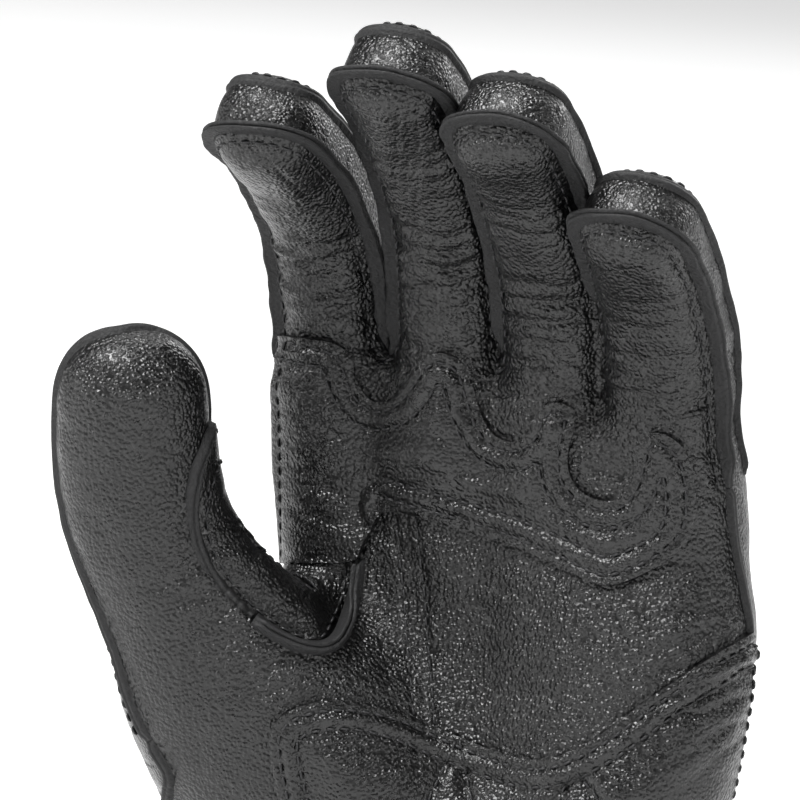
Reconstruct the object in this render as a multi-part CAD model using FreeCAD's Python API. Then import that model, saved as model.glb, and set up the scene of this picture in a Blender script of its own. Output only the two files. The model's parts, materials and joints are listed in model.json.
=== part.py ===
"""Left riding glove of leather, size L, as it stands when it is filled by a relaxed hand.

Millimetres. The origin is the centre of the cuff opening. +X runs to the little finger,
-Y is the palm side, +Z runs to the fingertips. One STEP file is written per sewn piece.
"""

import FreeCAD, Part
import math
import os

Vector = FreeCAD.Vector

# ---- leather and padding -------------------------------------------------------------
LEATHER = 1.2            # outer leather with its bonded backing
LINING = 0.6             # loose fabric lining of the hand
CLEAR = 0.4              # gap between pieces of different moving parts
SEAM_GAP = 0.1           # gap between curved pieces that are sewn to each other
PAD_FOAM = 2.4           # foam under the palm patches
PATCH_LEATHER = 1.1      # leather of a patch sewn on over foam
KNUCKLE_FOAM = 4.0       # foam of the knuckle guard

# ---- the hand: (height, centre x, centre y, half width, half depth) --------------------
HAND_SECTIONS = [
    (-6.0, 0.0, 2.0, 44.0, 26.5),
    (0.0, 0.0, 2.0, 43.5, 26.0),
    (25.0, 0.0, 2.0, 40.0, 23.5),
    (45.0, 0.5, 1.5, 38.0, 21.5),
    (62.0, 1.5, 0.0, 39.5, 20.5),
    (78.0, 3.0, -1.5, 40.5, 20.0),
    (95.0, 4.5, -2.0, 42.0, 19.0),
    (112.0, 4.5, -1.0, 43.5, 17.5),
    (130.0, 4.0, 0.0, 44.5, 15.5),
    (145.0, 3.0, -0.5, 44.0, 14.5),
    (158.0, 2.5, -2.5, 43.5, 13.5),
    (172.0, 2.5, -5.0, 43.0, 12.5),
]
HAND_POWER = 2.6         # 2 is an ellipse, more is squarer
FINGER_POWER = 2.4
OUTLINE_POINTS = 20

CUFF_SEAM_Z = 45.0       # the cuff is sewn to the hand here
BINDING_HEIGHT = 7.0
BINDING_LEATHER = 1.0
SIDE_SEAM_Y = 3.0        # plane of the seams between palm and back
THENAR_SEAM_X = -9.0     # seam between the palm panel and the thumb's panel

# ---- the row of knuckles: the fingers' roots bend on one line --------------------------
ROW_PIVOT = Vector(-5.0, -0.5, 144.5)
ROW_TILT = 8.5           # degrees that the line falls towards the little finger
ROW_HALF_BEND = 9.5      # half the height of leather that folds
ROOT_TOP = 15.5          # from the pivot line to the forks between the fingers

# ---- fingers ---------------------------------------------------------------------------
# knuckle point, splay, flexion of the three phalanges, their lengths, half widths and
# half depths at the fork, the middle joint, the last joint and the tip
FINGERS = {
    "index": dict(
        knuckle=(-29.0, 0.0, 139.5), splay=-3.0, flexion=(11.0, 40.0, 58.0),
        lengths=(42.0, 25.0, 16.0), wide=(11.2, 10.4, 10.0, 9.8), deep=(11.0, 10.0, 9.4, 9.2),
    ),
    "middle": dict(
        knuckle=(-5.3, -1.0, 140.0), splay=-0.5, flexion=(11.0, 41.0, 59.0),
        lengths=(46.0, 29.0, 16.0), wide=(11.0, 10.4, 10.2, 10.0), deep=(11.0, 10.2, 9.6, 9.4),
    ),
    "ring": dict(
        knuckle=(17.0, -1.0, 134.5), splay=-0.8, flexion=(11.0, 38.0, 56.0),
        lengths=(44.0, 28.0, 16.0), wide=(10.4, 10.0, 9.8, 9.6), deep=(10.8, 10.0, 9.4, 9.2),
    ),
    "little": dict(
        knuckle=(36.5, 0.0, 131.5), splay=1.5, flexion=(10.0, 36.0, 54.0),
        lengths=(36.0, 22.0, 14.0), wide=(9.6, 9.4, 9.2, 9.0), deep=(10.2, 9.4, 8.8, 8.6),
    ),
}
JOINT_HALF_BEND = 7.6    # half the length of leather that folds at a finger joint
TIP_CAP = 9.0            # rounded end past the last phalanx's axis
PALM_EDGE = -3.2         # height of the palm panel's seam in a finger's depth
BACK_EDGE = 3.6          # height of the back panel's seam

# ---- thumb: centre line, with half width and half depth --------------------------------
THUMB_LINE = [
    (Vector(-14.0, -11.0, 76.0), 23.0, 15.5),
    (Vector(-26.5, -18.0, 89.0), 21.5, 15.0),
    (Vector(-38.5, -26.0, 103.5), 17.5, 14.0),
    (Vector(-47.0, -32.0, 116.0), 15.0, 13.0),
    (Vector(-52.5, -36.5, 128.5), 13.8, 12.0),
    (Vector(-55.3, -40.0, 141.0), 14.2, 11.2),
    (Vector(-55.6, -41.6, 149.0), 14.0, 10.6),
]
THUMB_SIDE = Vector(0.93, 0.36, 0.10)
THUMB_ROOT = 2           # station of the root joint
THUMB_JOINT = 4          # station of the joint in the thumb
THUMB_HALF_BEND = 6.5
THUMB_CAP = 12.0
GUSSET_LOW = (-44.0, -27.0, 104.0)    # the web between thumb and hand lies in this box
GUSSET_HIGH = (-26.0, 0.0, 121.0)

# ---- wrist strap -------------------------------------------------------------------------
STRAP_LOW, STRAP_HIGH = 21.0, 41.0
STRAP_PIVOT_X = 16.0
STRAP_ANCHOR_END_X = 36.0
STRAP_TAB_END_X = -27.0
STRAP_LEATHER = 1.5
LOOP_PATCH = 1.0
HOOK_PATCH = 0.9

FAR = 400.0              # longer than the glove, for cutting


# ---- frames and outlines -----------------------------------------------------------------
class Station:
    """A cross-section's place: its centre, the way the line runs, and which way is sideways."""

    def __init__(self, centre, along, side, wide, deep):
        self.centre = centre
        self.along = Vector(along).normalize()
        lean = side.dot(self.along)
        self.side = (side - self.along * lean).normalize()
        self.back = self.along.cross(self.side)
        self.wide = wide
        self.deep = deep

    def at(self, sideways, backwards):
        return self.centre + self.side * sideways + self.back * backwards


def signed_power(value, power):
    return math.copysign(abs(value) ** power, value)


def outline(station, grow, power):
    """A closed squarish oval round the station, grown outwards by grow."""
    points = []
    for i in range(OUTLINE_POINTS):
        turn = 2 * math.pi * i / OUTLINE_POINTS
        x = (station.wide + grow) * signed_power(math.cos(turn), 2 / power)
        y = (station.deep + grow) * signed_power(math.sin(turn), 2 / power)
        points.append(station.at(x, y))
    curve = Part.BSplineCurve()
    curve.interpolate(Points=points, PeriodicFlag=True)
    return Part.Wire(curve.toShape())


def tube(stations, grow=0.0, power=FINGER_POWER):
    """A solid through the outlines of the stations."""
    return Part.makeLoft([outline(s, grow, power) for s in stations], True, False)


def band(stations, low, high):
    """Everything between two depths of a bent line of stations."""
    wires = []
    for s in stations:
        corners = [s.at(-FAR / 4, low), s.at(FAR / 4, low), s.at(FAR / 4, high), s.at(-FAR / 4, high)]
        wires.append(Part.makePolygon(corners + corners[:1]))
    return Part.makeLoft(wires, True, True)


def slab(low_z, high_z):
    """Everything between two heights."""
    return Part.makeBox(FAR, FAR, high_z - low_z, Vector(-FAR / 2, -FAR / 2, low_z))


def box_between(low, high):
    """The box between two corners."""
    low, high = Vector(*low), Vector(*high)
    size = high - low
    return Part.makeBox(size.x, size.y, size.z, low)


def tilted(low, high):
    """Everything between two heights above the tilted line of the knuckle row."""
    body = Part.makeBox(FAR, FAR, high - low, Vector(-FAR / 2, -FAR / 2, low))
    body.rotate(Vector(0, 0, 0), Vector(0, 1, 0), ROW_TILT)
    body.translate(ROW_PIVOT)
    return body


def between_planes(station_a, station_b, past_a=0.0, short_of_b=0.0):
    """Everything past station a's plane and short of station b's plane."""
    parts = []
    for s, move, sign in ((station_a, past_a, 1), (station_b, -short_of_b, -1)):
        face = Part.makePlane(FAR / 2, FAR / 2)
        face.translate(Vector(-FAR / 4, -FAR / 4, 0))
        turn = FreeCAD.Rotation(Vector(0, 0, 1), s.along * sign)
        face.Placement = FreeCAD.Placement(s.centre + s.along * move, turn)
        shift = turn.multVec(Vector(-FAR / 4, -FAR / 4, 0))
        face.translate(shift)
        parts.append(face.extrude(s.along * sign * FAR / 4))
    return parts[0].common(parts[1])


def largest(shape):
    """The biggest solid of a cut result, with slivers dropped."""
    return max(shape.Solids, key=lambda s: s.Volume)


# ---- the hand ------------------------------------------------------------------------------
def hand_stations():
    up = Vector(0, 0, 1)
    return [Station(Vector(x, y, z), up, Vector(1, 0, 0), a, b) for z, x, y, a, b in HAND_SECTIONS]


_forms = {}


def hand_form(grow):
    """The solid form of cuff, palm and finger roots, grown outwards by grow."""
    if grow not in _forms:
        _forms[grow] = tube(hand_stations(), grow, HAND_POWER)
    return _forms[grow]


def hand_shell(inner, outer):
    """A skin of the hand form between two growths."""
    return hand_form(outer).cut(hand_form(inner))


def palm_side():
    return box_between((-FAR / 2, -FAR / 2, -20), (FAR / 2, SIDE_SEAM_Y, FAR))


def back_side():
    return box_between((-FAR / 2, SIDE_SEAM_Y, -20), (FAR / 2, FAR / 2, FAR))


def hand_body():
    """Everything of the hand from the cuff seam up to where the finger roots start to fold."""
    return slab(CUFF_SEAM_Z, FAR).common(tilted(-FAR, -ROW_HALF_BEND))


def hand_panels():
    """Palm panel, thumb-side panel and back panel, opened where the thumb goes in."""
    skin = hand_shell(-LEATHER, 0.0).common(hand_body()).cut(tube(mound_stations(), -LEATHER))
    palm = skin.common(palm_side())
    thenar_half = box_between((-FAR / 2, -FAR / 2, -20), (THENAR_SEAM_X, FAR / 2, FAR))
    return {
        "palm_panel": largest(palm.cut(thenar_half)),
        "thenar_panel": largest(palm.common(thenar_half).cut(tube(mound_stations()))),
        "back_panel": largest(skin.common(back_side()).cut(tube(mound_stations()))),
    }


def hand_lining():
    """The fabric lining of the hand, open for the thumb."""
    low = slab(CUFF_SEAM_Z, FAR).common(tilted(-FAR, -ROW_HALF_BEND - 1.0))
    skin = hand_shell(-LEATHER - LINING, -LEATHER).common(low)
    return {"hand_lining": largest(skin.cut(tube(mound_stations(), 0.2)))}


def cuff_panels():
    """Cuff in two halves, its binding round the rim, and the elastic across the inner wrist."""
    skin = hand_shell(-LEATHER, 0.0).common(slab(0, CUFF_SEAM_Z))
    binding = hand_shell(0.0, BINDING_LEATHER).common(slab(0, BINDING_HEIGHT))
    elastic_zone = box_between((-22, -FAR / 2, CUFF_SEAM_Z - 12), (24, -8, CUFF_SEAM_Z - 2))
    elastic = hand_shell(-LEATHER - LINING, -LEATHER).common(elastic_zone)
    return {
        "cuff_palm": largest(skin.common(palm_side())),
        "cuff_back": largest(skin.common(back_side())),
        "cuff_binding": largest(binding),
        "wrist_elastic": largest(elastic),
    }


def heel_patch():
    """Padded patch over the heel of the hand: foam under leather."""
    def zone(margin):
        low = (-17 + margin, -FAR / 2, CUFF_SEAM_Z + 3 + margin)
        return box_between(low, (41 - margin, -6 - margin, 94 - margin))
    hollow = tube(mound_stations(), CLEAR)
    foam = hand_shell(0.0, PAD_FOAM).common(zone(3.0)).cut(hollow)
    cover = hand_shell(0.0, PAD_FOAM + PATCH_LEATHER).common(zone(0.0)).cut(hollow)
    return {"heel_foam": largest(foam), "heel_patch": largest(cover.cut(largest(foam)))}


# ---- the row of finger roots -----------------------------------------------------------------
def root_panels():
    """Leather that folds at the knuckles, the fingers' roots beyond it, and the forks between them."""
    skin = hand_shell(-LEATHER, 0.0)
    folding = skin.common(tilted(-ROW_HALF_BEND, ROW_HALF_BEND - CLEAR))
    root = skin.common(tilted(ROW_HALF_BEND, ROOT_TOP))
    forks = hand_form(-LEATHER).common(tilted(ROOT_TOP - LEATHER, ROOT_TOP))
    for finger in FINGERS.values():
        base = tube(base_stations(finger), SEAM_GAP)
        forks = forks.cut(base)
        root = root.cut(base)
    return {
        "palm_fold": largest(folding.common(palm_side())),
        "back_fold": largest(folding.common(back_side())),
        "root_palm": largest(root.common(palm_side())),
        "root_back": largest(root.common(back_side())),
        "finger_forks": largest(forks),
    }


def palm_overlay():
    """Padded patch under the finger roots. It crosses the fold, so it stands clear of the roots."""
    def zone(margin):
        across = box_between((-37 + margin, -FAR / 2, 100), (43 - margin, -5 - margin, FAR))
        return across.common(tilted(-22 + margin, ROOT_TOP - 2 - margin))
    foam = hand_shell(CLEAR, CLEAR + PAD_FOAM).common(zone(3.0))
    cover = hand_shell(CLEAR, CLEAR + PAD_FOAM + PATCH_LEATHER).common(zone(0.0))
    return {"overlay_foam": largest(foam), "palm_overlay": largest(cover.cut(largest(foam)))}


def knuckle_guard():
    """Foam guard under leather over the knuckles. It moves with the finger roots."""
    def zone(margin):
        across = box_between((-36 + margin, 5 + margin, 100), (41 - margin, FAR / 2, FAR))
        return across.common(tilted(-5 + margin, ROOT_TOP - margin))
    foam = hand_shell(CLEAR, CLEAR + KNUCKLE_FOAM).common(zone(3.0))
    cover = hand_shell(CLEAR, CLEAR + KNUCKLE_FOAM + PATCH_LEATHER).common(zone(0.0))
    return {"knuckle_foam": largest(foam), "knuckle_cover": largest(cover.cut(largest(foam)))}


# ---- fingers -----------------------------------------------------------------------------------
def finger_direction(flexion, splay):
    """Unit vector of a phalanx bent towards the palm by flexion and leaning in X by splay."""
    f, s = math.radians(flexion), math.radians(splay)
    return Vector(math.sin(s) * math.cos(f), -math.sin(f), math.cos(s) * math.cos(f))


def finger_joints(finger):
    """Knuckle, middle joint, last joint and end of the axis."""
    points = [Vector(*finger["knuckle"])]
    for flexion, length in zip(finger["flexion"], finger["lengths"]):
        points.append(points[-1] + finger_direction(flexion, finger["splay"]) * length)
    return points


def finger_station(finger, joint, distance, flexion, size):
    """A station past a joint along a phalanx. size picks the width and depth, and may lie between two."""
    splay = math.radians(finger["splay"])
    side = Vector(math.cos(splay), 0, -math.sin(splay))
    along = finger_direction(flexion, finger["splay"])
    i = min(int(size), 2)
    share = size - i
    wide = finger["wide"][i] * (1 - share) + finger["wide"][i + 1] * share
    deep = finger["deep"][i] * (1 - share) + finger["deep"][i + 1] * share
    return Station(joint + along * distance, along, side, wide, deep)


def base_stations(finger):
    """From below the finger's fork to where the middle joint starts to fold."""
    knuckle = finger_joints(finger)[0]
    first, end = finger["flexion"][0], finger["lengths"][0] - JOINT_HALF_BEND
    return [finger_station(finger, knuckle, end * k / 3, first, k / 3 * 0.8) for k in range(4)]


def fold_stations(finger):
    """The short bent stretch round the middle joint."""
    first, second, _ = finger["flexion"]
    joint = finger_joints(finger)[1]
    return [
        finger_station(finger, joint, -JOINT_HALF_BEND, first, 0.8),
        finger_station(finger, joint, 0.0, (first + second) / 2, 1.0),
        finger_station(finger, joint, JOINT_HALF_BEND, second, 1.2),
    ]


def end_stations(finger):
    """From past the middle joint to the start of the rounded tip."""
    _, second, third = finger["flexion"]
    _, middle, last, end = finger_joints(finger)
    length, tip = finger["lengths"][1:]
    stations = [
        finger_station(finger, middle, JOINT_HALF_BEND, second, 1.2),
        finger_station(finger, middle, length - 7.0, second, 1.7),
        finger_station(finger, last, 0.0, (second + third) / 2, 2.0),
        finger_station(finger, last, 7.0, third, 2.4),
        finger_station(finger, last, tip, third, 3.0),
    ]
    return stations + cap_stations(stations[-1], TIP_CAP)


def cap_stations(last, height):
    """Shrinking stations that round off a tip."""
    stations = []
    for degrees in (30, 55, 75, 86):
        turn = math.radians(degrees)
        place = last.centre + last.along * height * math.sin(turn)
        shrink = math.cos(turn)
        stations.append(Station(place, last.along, last.side, last.wide * shrink, last.deep * shrink))
    return stations


def shrunk_cap(stations, thickness, height):
    """The inner stations of a closed tip: narrower by the leather and shorter by it."""
    plain, last = stations[: -4], stations[-5]
    inner = [Station(s.centre, s.along, s.side, s.wide - thickness, s.deep - thickness) for s in plain]
    return inner + cap_stations(inner[-1], height - thickness)


def closed_stall(stations, height):
    """A hollow finger end, closed at the tip and open at the root."""
    return tube(stations).cut(tube(shrunk_cap(stations, LEATHER, height)))


def long_band(stations, low, high):
    """A band that reaches well past the first and the last station."""
    first, last = stations[0], stations[-1]
    before = Station(first.centre - first.along * 8, first.along, first.side, 1, 1)
    after = Station(last.centre + last.along * 12, last.along, last.side, 1, 1)
    return band([before] + stations[:-4] + [after], low, high)


def finger_pieces(name, finger):
    """Six pieces: two of the base, the folding stretch, and three of the end."""
    above_root = tilted(ROOT_TOP - LEATHER, FAR / 2)
    base = base_stations(finger)
    sleeve = tube(base).cut(tube(base, -LEATHER)).common(above_root)
    base_palm = band([base[0], base[-1]], -30, PALM_EDGE)
    fold = fold_stations(finger)
    shortened = between_planes(fold[0], fold[-1], 0.0, CLEAR)
    end = end_stations(finger)
    stall = closed_stall(end, TIP_CAP)
    return {
        f"{name}_base_palm": largest(sleeve.common(base_palm)),
        f"{name}_base_back": largest(sleeve.cut(base_palm)),
        f"{name}_fold": largest(tube(fold).cut(tube(fold, -LEATHER)).common(shortened)),
        f"{name}_palm": largest(stall.common(long_band(end, -30, PALM_EDGE))),
        f"{name}_wall": largest(stall.common(long_band(end, PALM_EDGE, BACK_EDGE))),
        f"{name}_back": largest(stall.common(long_band(end, BACK_EDGE, 30))),
    }


# ---- thumb ---------------------------------------------------------------------------------------
def thumb_stations():
    """Stations at the thumb's points, each facing along the line there."""
    points = [p for p, _, _ in THUMB_LINE]
    stations = []
    for i, (point, wide, deep) in enumerate(THUMB_LINE):
        ahead = points[min(i + 1, len(points) - 1)] - points[max(i - 1, 0)]
        stations.append(Station(point, ahead, THUMB_SIDE, wide, deep))
    return stations


def moved(station, distance):
    return Station(station.centre + station.along * distance, station.along, station.side, station.wide, station.deep)


def mound_stations():
    """The thumb's mound: from inside the hand to just short of the root joint."""
    s = thumb_stations()
    return [s[0], s[1], moved(s[THUMB_ROOT], -THUMB_HALF_BEND)]


def thumb_pieces():
    """Mound, root fold, base, joint fold and tip of the thumb."""
    s = thumb_stations()
    root, joint = s[THUMB_ROOT], s[THUMB_JOINT]
    mound = mound_stations()
    root_fold = [moved(root, -THUMB_HALF_BEND), root, moved(root, THUMB_HALF_BEND)]
    base = [moved(root, THUMB_HALF_BEND), s[THUMB_ROOT + 1], moved(joint, -THUMB_HALF_BEND)]
    joint_fold = [moved(joint, -THUMB_HALF_BEND), joint, moved(joint, THUMB_HALF_BEND)]
    end = [moved(joint, THUMB_HALF_BEND), s[-2], s[-1]]
    end = end + cap_stations(end[-1], THUMB_CAP)
    stall = closed_stall(end, THUMB_CAP)
    hand = hand_form(0.0)

    def sleeve(stations):
        return tube(stations).cut(tube(stations, -LEATHER))

    def shortened(stations):
        return sleeve(stations).common(between_planes(stations[0], stations[-1], 0.0, CLEAR))

    gusset = box_between(GUSSET_LOW, GUSSET_HIGH)
    for neighbour in (hand_form(CLEAR), tube(mound, CLEAR), tube(root_fold, CLEAR), tube(base, CLEAR)):
        gusset = gusset.cut(neighbour)
    mound_skin = sleeve(mound).cut(hand)
    mound_palm = band(mound, -60, 0.0)
    base_palm = band(base, -60, 0.0)
    return {
        "thumb_mound_palm": largest(mound_skin.common(mound_palm)),
        "thumb_mound_back": largest(mound_skin.cut(mound_palm)),
        "thumb_gusset": largest(gusset),
        "thumb_root_fold": largest(shortened(root_fold).cut(hand_form(SEAM_GAP))),
        "thumb_base_palm": largest(sleeve(base).common(base_palm)),
        "thumb_base_back": largest(sleeve(base).cut(base_palm)),
        "thumb_joint_fold": largest(shortened(joint_fold)),
        "thumb_palm": largest(stall.common(long_band(end, -60, PALM_EDGE))),
        "thumb_wall": largest(stall.common(long_band(end, PALM_EDGE, BACK_EDGE))),
        "thumb_back": largest(stall.common(long_band(end, BACK_EDGE, 60))),
    }


# ---- wrist strap -----------------------------------------------------------------------------------
def strap_pieces():
    """Strap over the back of the wrist: sewn end, free tab, and the hook and loop patches."""
    under_tab = LOOP_PATCH + CLEAR
    strap_in = under_tab + HOOK_PATCH
    strap_out = strap_in + STRAP_LEATHER

    def stretch(low_x, high_x, margin):
        low = (low_x, SIDE_SEAM_Y + 1, STRAP_LOW + margin)
        return box_between(low, (high_x, FAR / 2, STRAP_HIGH - margin))

    anchor = hand_shell(0.0, strap_out).common(stretch(STRAP_PIVOT_X, STRAP_ANCHOR_END_X, 0))
    tab = hand_shell(strap_in, strap_out).common(stretch(STRAP_TAB_END_X, STRAP_PIVOT_X - CLEAR, 0))
    loop = hand_shell(0.0, LOOP_PATCH).common(stretch(STRAP_TAB_END_X + 2, STRAP_PIVOT_X - 3, 1.5))
    hook = hand_shell(under_tab, strap_in).common(stretch(STRAP_TAB_END_X + 4, STRAP_TAB_END_X + 26, 2))
    return {
        "strap_anchor": largest(anchor),
        "strap_tab": largest(tab),
        "strap_loop_patch": largest(loop),
        "strap_hook_patch": largest(hook),
    }


def build():
    pieces = {}
    for make in (hand_panels, hand_lining, cuff_panels, heel_patch, root_panels,
                 palm_overlay, knuckle_guard, thumb_pieces, strap_pieces):
        pieces.update(make())
    for name, finger in FINGERS.items():
        pieces.update(finger_pieces(name, finger))
    return pieces


os.makedirs("parts", exist_ok=True)
for piece_name, piece in build().items():
    piece.exportStep(os.path.join("parts", piece_name + ".step"))
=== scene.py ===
import json
import math
import bpy
import numpy as np
from mathutils import Matrix, Vector


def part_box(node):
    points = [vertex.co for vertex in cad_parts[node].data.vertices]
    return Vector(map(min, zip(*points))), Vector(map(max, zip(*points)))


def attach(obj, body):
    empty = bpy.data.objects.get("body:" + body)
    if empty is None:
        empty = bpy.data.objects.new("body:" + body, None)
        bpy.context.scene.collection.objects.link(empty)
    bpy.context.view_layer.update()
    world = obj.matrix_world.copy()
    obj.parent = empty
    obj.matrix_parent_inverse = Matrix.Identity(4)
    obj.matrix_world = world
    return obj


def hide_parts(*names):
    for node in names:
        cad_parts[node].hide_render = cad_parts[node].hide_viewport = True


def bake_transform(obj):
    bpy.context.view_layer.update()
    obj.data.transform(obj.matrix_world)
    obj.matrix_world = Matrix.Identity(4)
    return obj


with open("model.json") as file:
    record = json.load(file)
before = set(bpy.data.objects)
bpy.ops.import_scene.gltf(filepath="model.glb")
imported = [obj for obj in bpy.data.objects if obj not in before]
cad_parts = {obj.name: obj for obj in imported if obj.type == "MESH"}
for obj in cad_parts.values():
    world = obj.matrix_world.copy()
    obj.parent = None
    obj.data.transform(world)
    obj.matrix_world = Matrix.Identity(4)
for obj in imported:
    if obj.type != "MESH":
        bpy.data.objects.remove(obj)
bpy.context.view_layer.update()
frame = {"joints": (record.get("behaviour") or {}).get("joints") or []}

# Everything is worked out in millimetres, in the CAD's own axes: +X little finger, -Y palm, +Z fingertips.
MM = 0.001
GRID = 1.3                    # mm, cell of the leather's base mesh before it is divided once
COARSE = 6.0                  # mm, cell of the search for the surface
LEATHER = 1.1                 # mm, thickness of the leather
PATCH_LEATHER = 1.4           # mm, thickness of the patches' leather

# ---- the camera, and the plane that the palm's pattern pieces are laid out in
VIEW_AZIMUTH, VIEW_ELEVATION, VIEW_ROLL = 24.0, 6.0, 5.0
VIEW_DISTANCE = 900.0
VIEW_TARGET = np.array([0.0, 0.0, 150.0])
VIEW_OFFSET = (17.0, 5.7)     # the target stands right of and below the picture's centre
VIEW_WIDTH = 151.0            # mm across the picture at the target


def unit(v):
    v = np.asarray(v, float)
    return v / np.maximum(np.linalg.norm(v, axis=-1, keepdims=True), 1e-12)


def view_axes():
    a, e, r = np.radians([VIEW_AZIMUTH, VIEW_ELEVATION, VIEW_ROLL])
    back = np.array([np.sin(a) * np.cos(e), -np.cos(a) * np.cos(e), np.sin(e)])
    right = np.array([np.cos(a), np.sin(a), 0.0])
    up = np.cross(back, right)
    return right * np.cos(r) + up * np.sin(r), up * np.cos(r) - right * np.sin(r), back


RIGHT, UP, BACK = view_axes()


def pattern(q):
    """Where points stand in the pattern plane: mm right of and above the target, as seen from the front."""
    r = q - VIEW_TARGET
    near = VIEW_DISTANCE / (VIEW_DISTANCE - r @ BACK)
    return np.stack([(r @ RIGHT) * near, (r @ UP) * near], -1)


# ---- small numpy tools
def smoothstep(x, low, high):
    t = np.clip((x - low) / (high - low), 0, 1)
    return t * t * (3 - 2 * t)


def bump(x, width):
    """1 at 0, falling smoothly to 0."""
    return np.exp(-((x / width) ** 2))


def smooth_min(a, b, k):
    h = np.clip(0.5 + 0.5 * (b - a) / k, 0, 1)
    return b * (1 - h) + a * h - k * h * (1 - h)


def round_corners(points, rounds=2, closed=False):
    """Cuts the corners of a line again and again."""
    p = np.asarray(points, float)
    for _ in range(rounds):
        nxt = np.roll(p, -1, 0) if closed else p[1:]
        here = p if closed else p[:-1]
        cut = np.stack([0.75 * here + 0.25 * nxt, 0.25 * here + 0.75 * nxt], 1).reshape(-1, p.shape[1])
        p = cut if closed else np.concatenate([p[:1], cut, p[-1:]])
    return p


NOISE_TABLE = np.random.default_rng(11).permutation(512)
NOISE_TABLE = np.concatenate([NOISE_TABLE, NOISE_TABLE])
NOISE_SLOPES = unit(np.random.default_rng(12).normal(size=(512, 3)))


def noise(q, size, seed=0):
    """Smooth gradient noise in -1..1. size is the length of a feature, one number or one per axis."""
    p = q / np.asarray(size, float) + seed * 17.3
    cell = np.floor(p).astype(int)
    f = p - cell
    w = f * f * f * (f * (f * 6 - 15) + 10)
    total = np.zeros(len(q))
    for corner in np.ndindex(2, 2, 2):
        c = (cell + corner) & 511
        slope = NOISE_SLOPES[NOISE_TABLE[NOISE_TABLE[NOISE_TABLE[c[:, 0]] + c[:, 1]] + c[:, 2]]]
        value = ((f - corner) * slope).sum(1)
        for axis in range(3):
            value = value * (w[:, axis] if corner[axis] else 1 - w[:, axis])
        total += value
    return total * 1.6


def ridges(q, size, seed=0):
    """Noise folded into sharp valleys: 0 on the flats, 1 in the creases."""
    return np.clip(1 - np.abs(noise(q, size, seed)) * 3.2, 0, 1) ** 1.6


# ---- the limbs of the hand
class Chain:
    """A bent limb: a centre line with a side direction, half width, and depth to palm and to back."""

    def __init__(self, points, side, wide, palm, back, power=2.6, cap=None):
        self.p = np.asarray(points, float)
        steps = np.linalg.norm(np.diff(self.p, axis=0), axis=1)
        self.s = np.concatenate([[0], np.cumsum(steps)])
        self.length = self.s[-1]
        self.t = unit(np.gradient(self.p, self.s, axis=0))
        side = np.tile(np.asarray(side, float), (len(self.p), 1))
        self.side = unit(side - (side * self.t).sum(1, keepdims=True) * self.t)
        self.wide, self.palm, self.back = (self.profile(x) for x in (wide, palm, back))
        self.power = power
        self.cap = cap or self.wide.min()
        reach = max(self.wide.max(), self.palm.max(), self.back.max()) + 12
        self.low, self.high = self.p.min(0) - reach, self.p.max(0) + reach

    def profile(self, v):
        v = np.asarray(v, float)
        if v.ndim == 0:
            return np.full(len(self.p), float(v))
        return np.interp(self.s / self.length, np.linspace(0, 1, len(v)), v)

    def local(self, q):
        """Along, sideways, backwards, and beyond an end; then the half width, palm and back depth there."""
        best = np.full(len(q), 1e18)
        segment = np.zeros(len(q), int)
        share = np.zeros(len(q))
        for j in range(len(self.p) - 1):
            run = self.p[j + 1] - self.p[j]
            t = np.clip((q - self.p[j]) @ run / (run @ run), 0, 1)
            gap = ((q - self.p[j] - t[:, None] * run) ** 2).sum(1)
            nearer = gap < best
            best[nearer], segment[nearer], share[nearer] = gap[nearer], j, t[nearer]
        f = share[:, None]

        def mix(a):
            g = f if a.ndim == 2 else share
            return a[segment] * (1 - g) + a[segment + 1] * g

        side, along = unit(mix(self.side)), unit(mix(self.t))
        back = np.cross(along, side)
        r = q - mix(self.p)
        u, v, w = (r * side).sum(1), (r * back).sum(1), (r * along).sum(1)
        return mix(self.s), u, v, w, mix(self.wide), mix(self.palm), mix(self.back)

    def distance(self, q):
        """Signed distance, near enough, and a safe large value far from the limb."""
        far = np.maximum(np.maximum(self.low - q, q - self.high), 0).max(1)
        out = 12 + far
        near = far == 0
        _, u, v, w, wide, palm, back = self.local(q[near])
        deep = np.where(v < 0, palm, back)
        e = sum(np.abs(x / size) ** self.power for x, size in ((u, wide), (v, deep), (w, self.cap)))
        out[near] = (e ** (1 / self.power) - 1) * np.minimum(wide, deep)
        return out


JOINTS = {j["name"]: j for j in frame["joints"]}


def joint_point(name):
    return np.array(JOINTS[name]["pos_m"]) / MM


def joint_axis(name):
    return np.array(JOINTS[name]["axis"], float)


# Rest bend of the three phalanges in degrees, their lengths, and the finger's half width and depth.
FINGERS = {
    "index": dict(bend=(11, 44, 66), length=(42, 24, 15), wide=(11.2, 10.6, 10.4, 10.4), fork=24,
                  back=(11, 10.5, 10, 10)),
    "middle": dict(bend=(11, 41, 59), length=(46, 29, 16), wide=(11.4, 10.9, 10.7, 10.6), fork=26,
                   back=(11, 10.5, 10.3, 10.2)),
    "ring": dict(bend=(11, 38, 56), length=(44, 28, 16), wide=(11.2, 10.9, 10.5, 10.4), fork=25,
                 back=(11.5, 11, 10.5, 10.2)),
    "little": dict(bend=(10, 36, 54), length=(36, 22, 14), wide=(12.8, 12.2, 11.2, 10.6), fork=22,
                   back=(17, 16, 13.5, 11)),
}
NAMES = tuple(FINGERS)
TIP_CAP = 9.0
PALM_EDGE, BACK_EDGE = -3.2, 6.2     # mm in a finger's depth where its panels are sewn
PALM_ROW, BACK_ROW = 2.7, 2.2        # mm from those seams to the stitches beside them
GUSSET_ROW, THUMB_ROW = 2.6, 2.8     # mm from the gusset's and the thumb's seams to their stitches
PALM_SEAM_ROW = 1.9                  # mm from the seam down the palm to its two rows of stitches


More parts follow.
